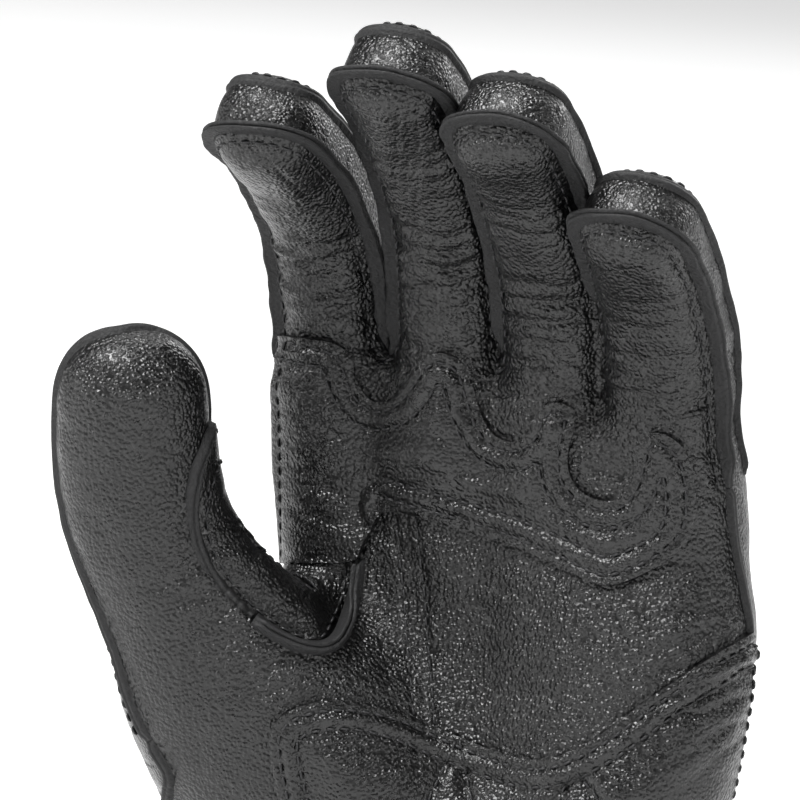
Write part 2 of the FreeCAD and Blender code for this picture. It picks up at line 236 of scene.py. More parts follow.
def bent(degrees, side):
    """The direction of a phalanx bent towards the palm."""
    up = unit(np.cross(side, [0, 1.0, 0]))
    a = math.radians(degrees)
    return up * math.cos(a) + np.array([0, -1.0, 0]) * math.sin(a)


def finger_chain(name):
    """The free finger, from its knuckle to the start of its rounded tip."""
    f = FINGERS[name]
    side = joint_axis(name + "_middle_joint")
    middle = joint_point(name + "_middle_joint")
    first, second, third = (bent(b, side) * l for b, l in zip(f["bend"], f["length"]))
    line = round_corners([middle - first, middle, middle + second, middle + second + third], 3)
    deep = np.array(f["wide"]) - 0.6
    return Chain(line, side, f["wide"], deep, f["back"], 2.4, TIP_CAP)


def root_chain(name):
    """The part of the palm that carries one finger."""
    f = FINGERS[name]
    side = joint_axis(name + "_middle_joint")
    first = bent(f["bend"][0], side)
    knuckle = joint_point(name + "_middle_joint") - first * f["length"][0]
    heel = np.array([knuckle[0] * 0.62, 2.0, 60.0])
    line = round_corners([heel, (heel + knuckle) / 2, knuckle, knuckle + first * (f["fork"] - 10)])
    wide = {"index": (14, 12.8, 12, 11), "little": (20, 19.5, 18.5, 15)}.get(name, (15, 14, 13, 11.5))
    return Chain(line, side, wide, (15, 13.5, 13, 12), (18, 17.5, 16, 13), 2.2, 12)


THUMB_LINE = [(-8, -8, 69), (-14.5, -11.5, 76), (-26.5, -18, 89), (-38.5, -26, 103.5), (-47, -32, 116),
              (-52.5, -36.5, 128.5), (-54.6, -40, 141), (-54.4, -42, 151)]


def build_chains():
    chains = {name: finger_chain(name) for name in NAMES}
    for name in NAMES:
        chains[name + "_root"] = root_chain(name)
    side = (0.93, 0.36, 0.10)
    deep = (17, 17, 16, 14.5, 13, 12, 11.4, 11)
    chains["thumb"] = Chain(round_corners(THUMB_LINE), side, (26, 25, 24, 21, 17.3, 14.8, 14.6, 14.2),
                            deep, deep, 2.2, 14.5)
    chains["mound"] = Chain([(-29, -8, 54), (-39.5, -14, 76), (-45, -22, 97)], side, 13, 13, 12, 2.2, 14)
    chains["heel"] = Chain([(23, -5, 58), (33, -7, 88), (36.5, -4, 114)], (1, 0, 0), 17, 14, 20, 2.1, 16)
    chains["cuff"] = Chain([(0, 2, -14), (0, 2, 20), (0, 2, 45), (0, 1, 62)], (1, 0, 0),
                           (44, 41, 38.5, 38.5), (26, 24, 21.5, 21), (26, 24, 21.5, 21), 2.4, 12)
    return chains


CHAINS = build_chains()


def palm_distance(q):
    d = CHAINS["index_root"].distance(q)
    for name in NAMES[1:]:
        d = smooth_min(d, CHAINS[name + "_root"].distance(q), 13)
    d = smooth_min(d, CHAINS["heel"].distance(q), 13)
    return smooth_min(d, CHAINS["cuff"].distance(q), 12)


def glove_distance(q):
    """The filled glove: palm, thumb and cuff run together, and the fingers stand beside each other."""
    thumb = smooth_min(CHAINS["thumb"].distance(q), CHAINS["mound"].distance(q), 10)
    palm = smooth_min(palm_distance(q), thumb, 9)
    out = palm
    for name in NAMES:
        out = np.minimum(out, smooth_min(palm, CHAINS[name].distance(q), 4))
    return out


# ---- the base mesh
def grid_values(fn, low, high):
    """Values of fn on a fine grid, worked out exactly only near the surface."""
    count = np.ceil((high - low) / COARSE).astype(int) + 1
    axes = [low[i] + np.arange(count[i]) * COARSE for i in range(3)]
    coarse = fn(np.stack(np.meshgrid(*axes, indexing="ij"), -1).reshape(-1, 3)).reshape(count)
    size = ((count - 1) * COARSE / GRID).astype(int)
    where = [np.minimum(np.arange(size[i]) * GRID / COARSE, count[i] - 1.001) for i in range(3)]
    cell = np.ix_(*[w.astype(int) for w in where])
    near = np.abs(coarse[cell]) < COARSE * 1.9
    values = np.where(coarse[cell] > 0, 9.0, -9.0)
    points = np.argwhere(near) * GRID + low
    values[near] = np.concatenate([fn(part) for part in np.array_split(points, 12)])
    return values


def surface_nets(values, low):
    """Quads round the zero of a grid of values."""
    inside = values < 0
    shape = np.array(values.shape) - 1
    corners = list(np.ndindex(2, 2, 2))
    total = sum(inside[x:x + shape[0], y:y + shape[1], z:z + shape[2]].astype(int) for x, y, z in corners)
    active = (total > 0) & (total < 8)
    cells = np.argwhere(active)
    index = -np.ones(active.shape, int)
    index[active] = np.arange(len(cells))
    place, count = np.zeros((len(cells), 3)), np.zeros(len(cells))
    for corner in corners:
        for axis in range(3):
            if corner[axis]:
                continue
            other = np.array(corner)
            other[axis] = 1
            a = values[tuple((cells + corner).T)]
            b = values[tuple((cells + other).T)]
            cross = (a < 0) != (b < 0)
            point = np.tile(np.array(corner, float), (cross.sum(), 1))
            point[:, axis] += a[cross] / (a[cross] - b[cross])
            place[cross] += point
            count[cross] += 1
    vertices = low + (cells + place / count[:, None]) * GRID
    quads = []
    for axis in range(3):
        first, second = [d for d in range(3) if d != axis]
        ahead = np.zeros(3, int)
        ahead[axis] = 1
        size = np.array(values.shape) - ahead
        here = inside[:size[0], :size[1], :size[2]]
        there = inside[ahead[0]:, ahead[1]:, ahead[2]:]
        edges = np.argwhere(here != there)
        fits = (edges[:, first] > 0) & (edges[:, second] > 0)
        fits &= (edges[:, first] < shape[first]) & (edges[:, second] < shape[second])
        edges = edges[fits]

        def cell_at(back_first, back_second):
            at = edges.copy()
            at[:, first] -= back_first
            at[:, second] -= back_second
            return index[tuple(at.T)]

        quad = np.stack([cell_at(1, 1), cell_at(0, 1), cell_at(0, 0), cell_at(1, 0)], 1)
        turn = inside[tuple(edges.T)]
        if axis == 1:
            turn = ~turn
        quad[~turn] = quad[~turn][:, ::-1]
        quads.append(quad)
    return vertices, np.concatenate(quads)


def gradient(fn, v, eps=0.25):
    return np.stack([(fn(v + e) - fn(v - e)) / (2 * eps) for e in np.eye(3) * eps], 1)


def settle(fn, v, steps=2, most=0.8):
    """Moves points on to the surface of fn, each by no more than most."""
    start = v.copy()
    for _ in range(steps):
        g = gradient(fn, v)
        v = v - g * (fn(v) / np.maximum((g * g).sum(1), 0.2))[:, None]
        move = v - start
        length = np.linalg.norm(move, axis=1, keepdims=True)
        v = start + move * np.minimum(1, most / np.maximum(length, 1e-9))
    return v


def divide(v, quads):
    """Every quad into four."""
    edges = np.stack([quads, np.roll(quads, -1, 1)], -1).reshape(-1, 2)
    key, back = np.unique(np.sort(edges, 1), axis=0, return_inverse=True)
    back = back.reshape(-1, 4) + len(v)
    middle = np.arange(len(quads)) + len(v) + len(key)
    points = np.concatenate([v, v[key].mean(1), v[quads].mean(1)])
    parts = [np.stack([quads[:, k], back[:, k], middle, back[:, k - 1]], 1) for k in range(4)]
    return points, np.concatenate(parts)


def smooth_mesh(v, quads, rounds, keep=None):
    """Moves each vertex to the mean of its neighbours."""
    edges = np.unique(np.sort(np.stack([quads, np.roll(quads, -1, 1)], -1).reshape(-1, 2), 1), axis=0)
    degree = np.bincount(edges.ravel(), minlength=len(v))[:, None]
    ends = np.concatenate([edges[:, 0], edges[:, 1]])
    others = np.concatenate([edges[:, 1], edges[:, 0]])
    for _ in range(rounds):
        total = np.stack([np.bincount(ends, v[others, k], len(v)) for k in range(3)], 1)
        moved = v * 0.4 + total / np.maximum(degree, 1) * 0.6
        v = moved if keep is None else np.where(keep[:, None], v, moved)
    return v


def vertex_normals(v, tri):
    face = np.cross(v[tri[:, 1]] - v[tri[:, 0]], v[tri[:, 2]] - v[tri[:, 0]])
    n = np.zeros_like(v)
    for k in range(3):
        np.add.at(n, tri[:, k], face)
    return unit(n)


SMOOTH_ALL, SMOOTH_HAND = 6, 45       # rounds of smoothing: everywhere, and on all but the free fingers
FREE_ABOVE = 150.0                    # mm, the height above which fingers are free
LOW, HIGH = np.array([-86.0, -76.0, -6.0]), np.array([64.0, 44.0, 234.0])
values = grid_values(glove_distance, LOW, HIGH)
base_v, base_q = surface_nets(values, LOW)
base_v = settle(glove_distance, base_v)
base_v, base_q = divide(base_v, base_q)
base_v = settle(glove_distance, base_v, 1, 0.5)
free = np.min([CHAINS[name].distance(base_v) for name in NAMES], 0) < 1.5
base_v = smooth_mesh(base_v, base_q, SMOOTH_ALL)
base_v = smooth_mesh(base_v, base_q, SMOOTH_HAND, keep=free & (base_v[:, 2] > FREE_ABOVE))


# ---- fields on the base mesh: where each point is on its limb, and how far from each seam
def triangles(quads, v):
    """Each quad cut along its shorter diagonal."""
    first = np.linalg.norm(v[quads[:, 0]] - v[quads[:, 2]], axis=1)
    second = np.linalg.norm(v[quads[:, 1]] - v[quads[:, 3]], axis=1)
    short = (first < second)[:, None]
    one = np.where(short, quads[:, [0, 1, 2]], quads[:, [0, 1, 3]])
    two = np.where(short, quads[:, [0, 2, 3]], quads[:, [1, 2, 3]])
    return np.concatenate([one, two])


def on_limb(name, q):
    chain = CHAINS[name]
    near = ((q > chain.low) & (q < chain.high)).all(1)
    place = {key: np.zeros(len(q)) for key in "uvw"}
    place["s"] = np.full(len(q), -99.0)
    place["s"][near], place["u"][near], place["v"][near], place["w"][near] = chain.local(q[near])[:4]
    place["d"] = chain.distance(q)
    return place


def line_distance(p, line, closed=False):
    """Distance in the pattern plane from points to a line."""
    ends = np.roll(line, -1, 0) if closed else line[1:]
    best = np.full(len(p), 1e9)
    for a, b in zip(line, ends):
        run = b - a
        t = np.clip((p - a) @ run / (run @ run), 0, 1)
        best = np.minimum(best, np.hypot(*(p - a - t[:, None] * run).T))
    return best


def inside(p, outline):
    """1 inside a closed outline and -1 outside."""
    odd = np.zeros(len(p), bool)
    for a, b in zip(outline, np.roll(outline, -1, 0)):
        if a[1] == b[1]:
            continue
        crosses = (a[1] > p[:, 1]) != (b[1] > p[:, 1])
        odd ^= crosses & (p[:, 0] < a[0] + (p[:, 1] - a[1]) * (b[0] - a[0]) / (b[1] - a[1]))
    return np.where(odd, 1.0, -1.0)


def outline_field(p, points, rounds=2):
    """Signed distance to a closed outline with rounded corners: above 0 inside."""
    outline = round_corners(points, rounds, closed=True)
    return line_distance(p, outline, closed=True) * inside(p, outline)


# Outlines in the pattern plane, mm right of and above the target.
OVERLAY_RIM = [(-36, 18), (-26.5, 16), (-25.5, 9), (-22, 5), (-17.5, 6), (-13.5, 13), (-9.5, 15.5),
               (-4.5, 12.5), (-3, 6), (0, -0.5), (4, -2.5), (7.5, -0.5), (8.5, 4.5), (12.5, 6),
               (16.5, 3.5), (14, -4.5), (15, -10), (19.5, -13), (24.5, -13), (27, -7.5), (28, -1),
               (32, 0.5), (36.5, -3), (38.2, -10.5), (37.8, -19), (34, -24), (28, -27.5),
               (20.8, -30), (13, -25.5), (2, -20.8), (-7.5, -17.9), (-19.5, -14.5)]
OVERLAY_LEFT = [(-22, -18), (-24, -22.5), (-24.7, -25.5), (-48, -25), (-52, 0), (-52, 18)]
GUSSET = [(-24.2, -21), (-24.7, -25.5), (-25.5, -32), (-28, -39.5), (-32, -41.5), (-38, -40.5),
          (-45.5, -35.5), (-52.8, -28), (-56.6, -19), (-56.6, -9.5), (-54, -2), (-52, 6),
          (-44, 6), (-44, -18)]
HEEL = [(-42.5, -56.5), (-38, -52), (-28.5, -50.5), (-19, -52.5), (-9.5, -56.5), (-2, -59.5), (9.5, -63),
        (19, -58.5), (28.5, -51), (38, -44.3), (45.5, -39.5), (56, -34), (56, -90), (-32, -92),
        (-37, -80), (-41, -66)]
QUILTING = [[(-6.4, -58), (-11.7, -69), (-18, -83)], [(-6, -58), (-4, -69), (-1, -83)],
            [(14.7, -64.5), (12.8, -69), (8, -83)], [(15.5, -64), (19.5, -69), (27, -83)]]
THUMB_SEAM_LINE = [(-16.5, -15), (-14.8, -30), (-13.8, -42), (-12.5, -54), (-11, -110)]

PALM_SEAM_Y = ([45, 115, 155], [-1.0, -1.0, -7.3])      # height, and the side seam's y there
RADIAL_SEAM_Y = ([45, 64, 84, 100], [-4.0, -11.0, -20.0, -21.0])


class Fields:
    """Everything known about the base mesh's points before the leather is given its relief."""

    def __init__(self, q):
        self.q = q
        self.plane = pattern(q)
        self.limb = {name: on_limb(name, q) for name in NAMES + ("thumb",)}
        self.palm_d = palm_distance(q)
        self.finger_d = np.stack([self.limb[name]["d"] for name in NAMES], 1)
        self.side = self.side_field()
        front = self.side > 0
        a, b = self.plane.T
        away = np.where(front, 0.0, -60.0)
        self.overlay = np.minimum(outline_field(self.plane, OVERLAY_RIM + OVERLAY_LEFT), self.side) + away
        self.gusset = outline_field(self.plane, GUSSET, 1) + away
        self.overlay_rim = line_distance(self.plane, round_corners(OVERLAY_RIM))
        self.overlay_edge = np.minimum(self.overlay_rim, np.where(a < -20, self.side, 99.0))
        self.palm_part = np.minimum(self.side, np.where(a < 10, -self.gusset, 99.0))
        self.heel = outline_field(self.plane, HEEL) + away
        self.quilting = np.min([line_distance(self.plane, np.array(l, float)) for l in QUILTING], 0)
        line = round_corners(THUMB_SEAM_LINE)
        self.thumb_line = (a - np.interp(b, line[::-1, 1], line[::-1, 0]))

    def side_field(self):
        """Above 0 on the palm side of the side seams, below 0 on the back."""
        x, y, z = self.q.T
        hand = np.interp(z, *PALM_SEAM_Y) - y
        radial = np.interp(z, *RADIAL_SEAM_Y) - y
        low = np.maximum(smoothstep(x, -34, -24), smoothstep(z, 104, 120))
        out = radial * (1 - low) + hand * low
        for name in NAMES:
            at = self.limb[name]
            share = smoothstep(at["s"], FINGERS[name]["fork"] - 10, FINGERS[name]["fork"] - 2)
            share = share * (at["d"] <= self.finger_d.min(1) + 1e-6)
            out = out * (1 - share) + (PALM_EDGE - at["v"]) * share
        at = self.limb["thumb"]
        share = smoothstep(at["s"], 24, 42) * smoothstep(self.palm_d - at["d"], -5, 5)
        inner = smoothstep(at["u"], -4, 4)
        edge = np.interp(at["s"], [20, 45, 75, 95], [-12, -9, -4.5, -0.5]) * (1 - inner) + 4.0 * inner
        return out * (1 - share) + (edge - at["v"]) * share


def finger_wrinkles(at, name):
    """Cross folds of the finger's leather, above 0 outwards."""
    s, u, v = at["s"], at["u"], at["v"]
    first, second = FINGERS[name]["length"][:2]
    seed = NAMES.index(name) + 1
    where = np.stack([u, s, v], 1)
    palm = smoothstep(-v, -3, 4)
    wander = 1.6 * noise(where, (8, 30, 9), seed) + 0.1 * u
    out = 0.4 * noise(where, (10, 9, 10), seed + 9) + 0.14 * noise(where, (5, 3.6, 5), seed + 30)
    for joint, folds in ((first, ((-9, .55), (-4.6, .9), (0, 1.25), (4.2, .95), (9, .5))),
                         (first + second, ((-4, .45), (0, .6), (3.6, .4)))):
        for k, (shift, depth) in enumerate(folds):
            line = s - joint - shift - wander
            part = depth * palm * (0.55 + 0.6 * noise(where, (9, 60, 20), seed + 12 * k))
            out -= 0.8 * part * bump(line, 1.2)
            out += 0.35 * part * bump(line - 2.4, 1.5)
    low = smoothstep(s, 10, 18) * (1 - smoothstep(s, first + 6, first + 14))
    out -= 0.4 * low * (0.35 + 0.65 * palm) * ridges(where, (17, 4.6, 15), seed + 50)
    out -= 0.16 * low * ridges(where, (11, 2.6, 12), seed + 70)
    back = smoothstep(v, 2, 6)
    stretch = bump(s - first, 7)
    out = out + 0.35 * back * stretch * np.sin(s * 2.2) * bump(u, 8)
    return out * (1 - 0.75 * bump(v - PALM_EDGE, 2.2)) - 0.35 * bump(v - PALM_EDGE + PALM_ROW, 0.9)


def relief(f):
    """How far the leather stands out from the filled shape, mm."""
    q = f.q
    out = 0.7 * noise(q, 22, 1) + 0.22 * noise(q, 9.5, 2) + 0.06 * noise(q, 3.6, 3)
    owner = f.finger_d.argmin(1)
    for k, name in enumerate(NAMES):
        at = f.limb[name]
        fork = FINGERS[name]["fork"]
        share = smoothstep(at["s"], fork - 12, fork) * (owner == k) * (at["d"] < 4)
        picked = share > 0
        part = {key: value[picked] for key, value in at.items()}
        out[picked] += share[picked] * finger_wrinkles(part, name)
    at = f.limb["thumb"]
    thumb = smoothstep(at["s"], 20, 40) * (at["d"] < 5)
    place = np.stack([at["u"], at["s"], at["v"]], 1)
    out -= 0.2 * thumb * ridges(place, (20, 6, 18), 81)
    for shift, depth in ((-6, .35), (0, .5), (5, .4)):
        line = at["s"] - 66 - shift - noise(place, 9, 83)
        out -= thumb * depth * smoothstep(at["u"], -6, 4) * bump(line, 1.3)
    a, b = f.plane.T
    palm = (f.side > 0) * (1 - thumb)
    folds = np.stack([a * 0.55 + b * 0.85, b * 0.55 - a * 0.85, q[:, 1] * 0.4], 1)
    out -= palm * 0.3 * ridges(folds, (8, 26, 30), 90) * smoothstep(b, -75, -35)
    out -= palm * 0.16 * ridges(np.stack([a, b, q[:, 1]], 1), (22, 6, 20), 91)
    fan = bump(a - 40, 12) * bump(b + 48, 15)
    out -= palm * 0.8 * fan * ridges(np.stack([a * 0.5 - b, a + b * 0.5, q[:, 1]], 1), (5, 30, 30), 92)
    seam = (1 - 0.7 * bump(f.side, 3)) * (1 - 0.6 * bump(f.gusset, 3) * (f.side > 0))
    lines = 0.4 * bump(f.thumb_line, 1.0) + 0.35 * bump(np.abs(f.thumb_line) - PALM_SEAM_ROW, 0.8)
    return out * seam - palm * lines * (f.overlay < 0)


ROW_NEAR, ROW_FAR = 1.8, 5.2      # mm from a patch's edge to its two rows of stitches
PATCH_THICK = 1.5                 # mm from the glove's leather up to the face of a flat patch


def stitch_rows(edge):
    """Leather drawn down along two rows of stitches, and swelling between them."""
    rows = -0.42 * bump(edge - ROW_NEAR, 0.75) - 0.42 * bump(edge - ROW_FAR, 0.75)
    return rows + 0.35 * bump(edge - (ROW_NEAR + ROW_FAR) / 2, 1.3)


def overlay_lift(f):
    edge = np.minimum(f.overlay_edge, 30)
    pad = 1.6 * smoothstep(edge, ROW_FAR, 12) * smoothstep(f.plane[:, 0], -34, -20)
    wrinkle = -0.55 * ridges(np.stack([f.plane[:, 0], f.plane[:, 1], f.q[:, 1]], 1), (24, 7, 30), 101)
    inner = smoothstep(edge, 5, 9)
    return PATCH_THICK + pad + stitch_rows(edge) + wrinkle * inner - 0.5 * bump(edge, 0.5)


def gusset_lift(f):
    edge = np.abs(f.gusset)
    down = -2.4 * (1 - smoothstep(edge, 0, 9)) * smoothstep(-f.plane[:, 1], 5, 22)
    near = 0.2 * noise(f.q, (9, 9, 5), 111)
    return PATCH_THICK * smoothstep(f.plane[:, 1], -34, -24) + down + near


def heel_lift(f):
    edge = f.heel
    pad = 1.8 * smoothstep(edge, ROW_FAR, 14) - 1.0 * bump(f.quilting, 1.3) * (edge > ROW_FAR)
    return PATCH_THICK + pad + stitch_rows(edge) - 0.5 * bump(edge, 0.5)


field = Fields(base_v)
base_t = triangles(base_q, base_v)
smooth_normal = vertex_normals(base_v, base_t)
if (base_v * smooth_normal).sum(1).mean() < 0:
    base_t = base_t[:, ::-1]
    smooth_normal = -smooth_normal
base_relief = relief(field)


# ---- sheets of leather cut from the base mesh
CUT_BY = ("side", "palm_part", "heel", "overlay", "gusset", "thumb_line")


class Sheet:
    """A piece of the surface. Each point carries its place, its normal and the fields it is cut by."""

    def __init__(self, mask, lift=0.0, **columns):
        keep = mask[base_t].all(1)
        used, self.t = np.unique(base_t[keep], return_inverse=True)
        self.t = self.t.reshape(-1, 3)
        height = (base_relief + lift)[used]
        place = base_v[used] + smooth_normal[used] * height[:, None]
        source = {name: getattr(field, name) for name in CUT_BY}
        source.update(x0=base_v[:, 0], y0=base_v[:, 1], z0=base_v[:, 2], **columns)
        self.names = list(source)
        values = np.stack([source[name][used] for name in self.names], 1)
        self.m = np.concatenate([place, smooth_normal[used], values], 1)

    def __getitem__(self, name):
        return self.m[:, 6 + self.names.index(name)]

    @property
    def v(self):
        return self.m[:, :3]

    @property
    def n(self):
        return unit(self.m[:, 3:6])

    def copy(self):
        other = object.__new__(Sheet)
        other.m, other.t, other.names = self.m.copy(), self.t.copy(), self.names
        return other

    def cut(self, name, level=0.0, keep_above=True):
        """The part where a field is above a level, or below it."""
        value = (self[name] - level) * (1 if keep_above else -1)
        out = self.copy()
        keep = value > 0
        count = keep[self.t].sum(1)
        whole = self.t[count == 3]
        split = self.t[(count == 1) | (count == 2)]
        new_tris, pairs = [], []

        def crossing(a, b):
            pairs.append(np.stack([np.minimum(a, b), np.maximum(a, b)], 1))
            return len(pairs) - 1

        pieces = []
        for k in range(3):
            a, b, c = split[:, k], split[:, (k + 1) % 3], split[:, (k + 2) % 3]
            lone = keep[a] & ~keep[b] & ~keep[c]
            pair = ~keep[a] & keep[b] & keep[c]
            pieces.append((a[lone], crossing(a[lone], b[lone]), crossing(a[lone], c[lone])))
            pieces.append((b[pair], c[pair], crossing(c[pair], a[pair]), crossing(a[pair], b[pair])))
        key, index = np.unique(np.concatenate(pairs), axis=0, return_inverse=True)
        index = np.split(index.ravel(), np.cumsum([len(p) for p in pairs])[:-1])
        low, high = value[key[:, 0]], value[key[:, 1]]
        t = low / (low - high)
        t = np.where(t < 0.12, 0, np.where(t > 0.88, 1, t))[:, None]
        added = self.m[key[:, 0]] * (1 - t) + self.m[key[:, 1]] * t
        base = len(self.m)
        for piece in pieces:
            if len(piece) == 3:
                new_tris.append(np.stack([piece[0], base + index[piece[1]], base + index[piece[2]]], 1))
            else:
                b, c, ca, ab = piece[0], piece[1], base + index[piece[2]], base + index[piece[3]]
                new_tris.append(np.stack([b, c, ca], 1))
                new_tris.append(np.stack([b, ca, ab], 1))
        out.m = np.concatenate([self.m, added])
        out.t = np.concatenate([whole] + new_tris)
        return out.weld()

    def weld(self):
        """Joins points at one place, and drops what that leaves without area."""
        used, t = np.unique(self.t, return_inverse=True)
        m = self.m[used]
        _, first, back = np.unique(np.round(m[:, :3], 3), axis=0, return_index=True, return_inverse=True)
        t = back.ravel()[t].reshape(-1, 3)
        good = (t[:, 0] != t[:, 1]) & (t[:, 1] != t[:, 2]) & (t[:, 0] != t[:, 2])
        self.m, self.t = m[first], t[good]
        return self

    def biggest(self, smallest=60):
        """Without loose scraps of fewer triangles than this."""
        label = np.arange(len(self.m))
        while True:
            low = label[self.t].min(1)
            new = label.copy()
            for k in range(3):
                np.minimum.at(new, self.t[:, k], low)
            new = new[new]
            if (new == label).all():
                break
            label = new
        size = np.bincount(label[self.t[:, 0]], minlength=len(self.m))
        self.t = self.t[size[label[self.t[:, 0]]] >= smallest]
        return self.weld()

    def trace(self, name, level=0.0, shortest=6.0):
        """The lines where a field has a value, each as places and normals."""
        value = self[name] - level
        value = np.where(value == 0, 1e-9, value)
        above = value > 0
        tri = self.t[(above[self.t].sum(1) % 3) != 0]
        links = {}
        keys = []
        for k in range(3):
            a, b = tri[:, k], tri[:, (k + 1) % 3]
            crosses = above[a] != above[b]
            keys.append(np.where(crosses[:, None], np.stack([np.minimum(a, b), np.maximum(a, b)], 1), -1))
        for row in zip(*[k.tolist() for k in keys]):
            one, two = [tuple(p) for p in row if p[0] >= 0]
            links.setdefault(one, []).append(two)
            links.setdefault(two, []).append(one)
        lines = []
        starts = [p for p in links if len(links[p]) == 1] + list(links)
        seen = set()
        for start in starts:
            if start in seen:
                continue
            line, here = [start], start
            seen.add(start)
            while True:
                nexts = [p for p in links[here] if p not in seen]
                if not nexts:
                    break
                here = nexts[0]
                seen.add(here)
                line.append(here)
            closed = len(line) > 3 and start in links[here]
            pair = np.array(line)
            low, high = value[pair[:, 0]], value[pair[:, 1]]
            t = (low / (low - high))[:, None]
            m = self.m[pair[:, 0]] * (1 - t) + self.m[pair[:, 1]] * t
            path = Path(m[:, :3], m[:, 3:6], closed)
            if path.length > shortest:
                lines.append(path)
        return lines


class Path:
    """A line on the leather, evenly spaced, with the leather's normal at each point."""

    def __init__(self, p, n, closed=False, step=0.7):
        if closed:
            p, n = np.concatenate([p, p[:1]]), np.concatenate([n, n[:1]])
        s = np.concatenate([[0], np.cumsum(np.linalg.norm(np.diff(p, axis=0), axis=1))])
        self.length, self.closed = s[-1], closed
        count = max(3, int(self.length / step) + 1)
        at = np.linspace(0, self.length, count)
        p = np.stack([np.interp(at, s, p[:, k]) for k in range(3)], 1)
        n = np.stack([np.interp(at, s, n[:, k]) for k in range(3)], 1)
        self.p, self.n = smooth_line(p, 4, closed), unit(smooth_line(n, 12, closed))
        self.s = at
        self.t = unit(np.gradient(self.p, axis=0))
        if closed:
            self.t[0] = self.t[-1] = unit(self.p[1] - self.p[-2])
        self.side = unit(np.cross(self.n, self.t))

    def at(self, s):
        mixed = [np.stack([np.interp(s, self.s, a[:, k]) for k in range(3)], 1)
                 for a in (self.p, self.t, self.n)]
        return mixed[0], unit(mixed[1]), unit(mixed[2])


def smooth_line(p, rounds, closed=False):
    for _ in range(rounds):
        q = p.copy()
        q[1:-1] = 0.25 * p[:-2] + 0.5 * p[1:-1] + 0.25 * p[2:]
        if closed:
            q[0] = q[-1] = 0.25 * p[-2] + 0.5 * p[0] + 0.25 * p[1]
        p = q
    return p


# ---- Blender objects
def add_object(name, v, faces, material, slot, sharp=None):
    mesh = bpy.data.meshes.new(name)
    mesh.from_pydata((np.asarray(v) * MM).tolist(), [], [list(map(int, f)) for f in faces])
    mesh.shade_smooth()
    if sharp is not None:
        mark = mesh.attributes.new("sharp_edge", "BOOLEAN", "EDGE")
        pairs = np.zeros(len(mesh.edges) * 2, int)
        mesh.edges.foreach_get("vertices", pairs)
        pairs = np.sort(pairs.reshape(-1, 2), 1)
        wanted = np.sort(sharp, 1)
        size = len(v) + 1
        hit = np.isin(pairs[:, 0] * size + pairs[:, 1], wanted[:, 0] * size + wanted[:, 1])
        mark.data.foreach_set("value", hit)
    piece = bpy.data.objects.new(name, mesh)
    bpy.context.scene.collection.objects.link(piece)
    mesh.materials.append(material)
    return piece


def border(t):
    """The directed edges that only one triangle has."""
    edges = np.concatenate([t[:, [0, 1]], t[:, [1, 2]], t[:, [2, 0]]])
    size = t.max() + 1
    forward = edges[:, 0] * size + edges[:, 1]
    backward = edges[:, 1] * size + edges[:, 0]
    return edges[~np.isin(forward, backward)]


def leather_piece(name, sheet, material, slot, thick=LEATHER, uv=None):
    """A sheet given its thickness inwards, with its cut edge closed."""
    v, n, t = sheet.v, sheet.n, sheet.t
    edge = border(t)
    count = len(v)
    rim = np.stack([edge[:, 1], edge[:, 0], edge[:, 0] + count, edge[:, 1] + count], 1)
    faces = np.concatenate([t, t[:, ::-1] + count]).tolist() + rim.tolist()
    sharp = np.concatenate([edge, edge + count])
    piece = add_object(name, np.concatenate([v, v - n * thick]), faces, material, slot, sharp)
    if uv is not None:
        layer = piece.data.uv_layers.new(name="UVMap")
        corners = np.zeros(len(piece.data.loops), int)
        piece.data.loops.foreach_get("vertex_index", corners)
        layer.data.foreach_set("uv", np.concatenate([uv, uv])[corners].ravel())
    return piece


def sweep(path, profile, wobble=0.0, seed=0, taper=2.0):
    """A profile, in mm across and above the leather, run along a line; its height varies a little."""
    profile = np.asarray(profile, float)
    place = np.stack([path.s, np.zeros_like(path.s), np.zeros_like(path.s)], 1)
    height = 1 + wobble * noise(place, 7, seed) + 0.5 * wobble * noise(place, 2.6, seed + 5)
    lean = wobble * 1.3 * noise(place, 9, seed + 3)
    if not path.closed:
        height = height * (0.25 + 0.75 * smoothstep(np.minimum(path.s, path.length - path.s), 0, taper))
    across, above = profile[:, 0][None, :, None], profile[:, 1][None, :, None]
    high = above * np.where(above > 0, height[:, None, None], 1)
    v = path.p[:, None] + path.side[:, None] * (across + lean[:, None, None] * np.maximum(above, 0))
    v = v + path.n[:, None] * high
    rows, cols = v.shape[:2]
    i, j = np.meshgrid(np.arange(rows - 1), np.arange(cols), indexing="ij")
    k = (j + 1) % cols
    faces = np.stack([i * cols + j, i * cols + k, (i + 1) * cols + k, (i + 1) * cols + j], -1).reshape(-1, 4)
    faces = faces.tolist()
    if not path.closed:
        faces += [list(range(cols))[::-1], [(rows - 1) * cols + c for c in range(cols)]]
    return v.reshape(-1, 3), faces


THREAD, STITCH, PITCH = 0.27, 1.95, 2.7     # mm: a thread's radius, a stitch's length, and their spacing


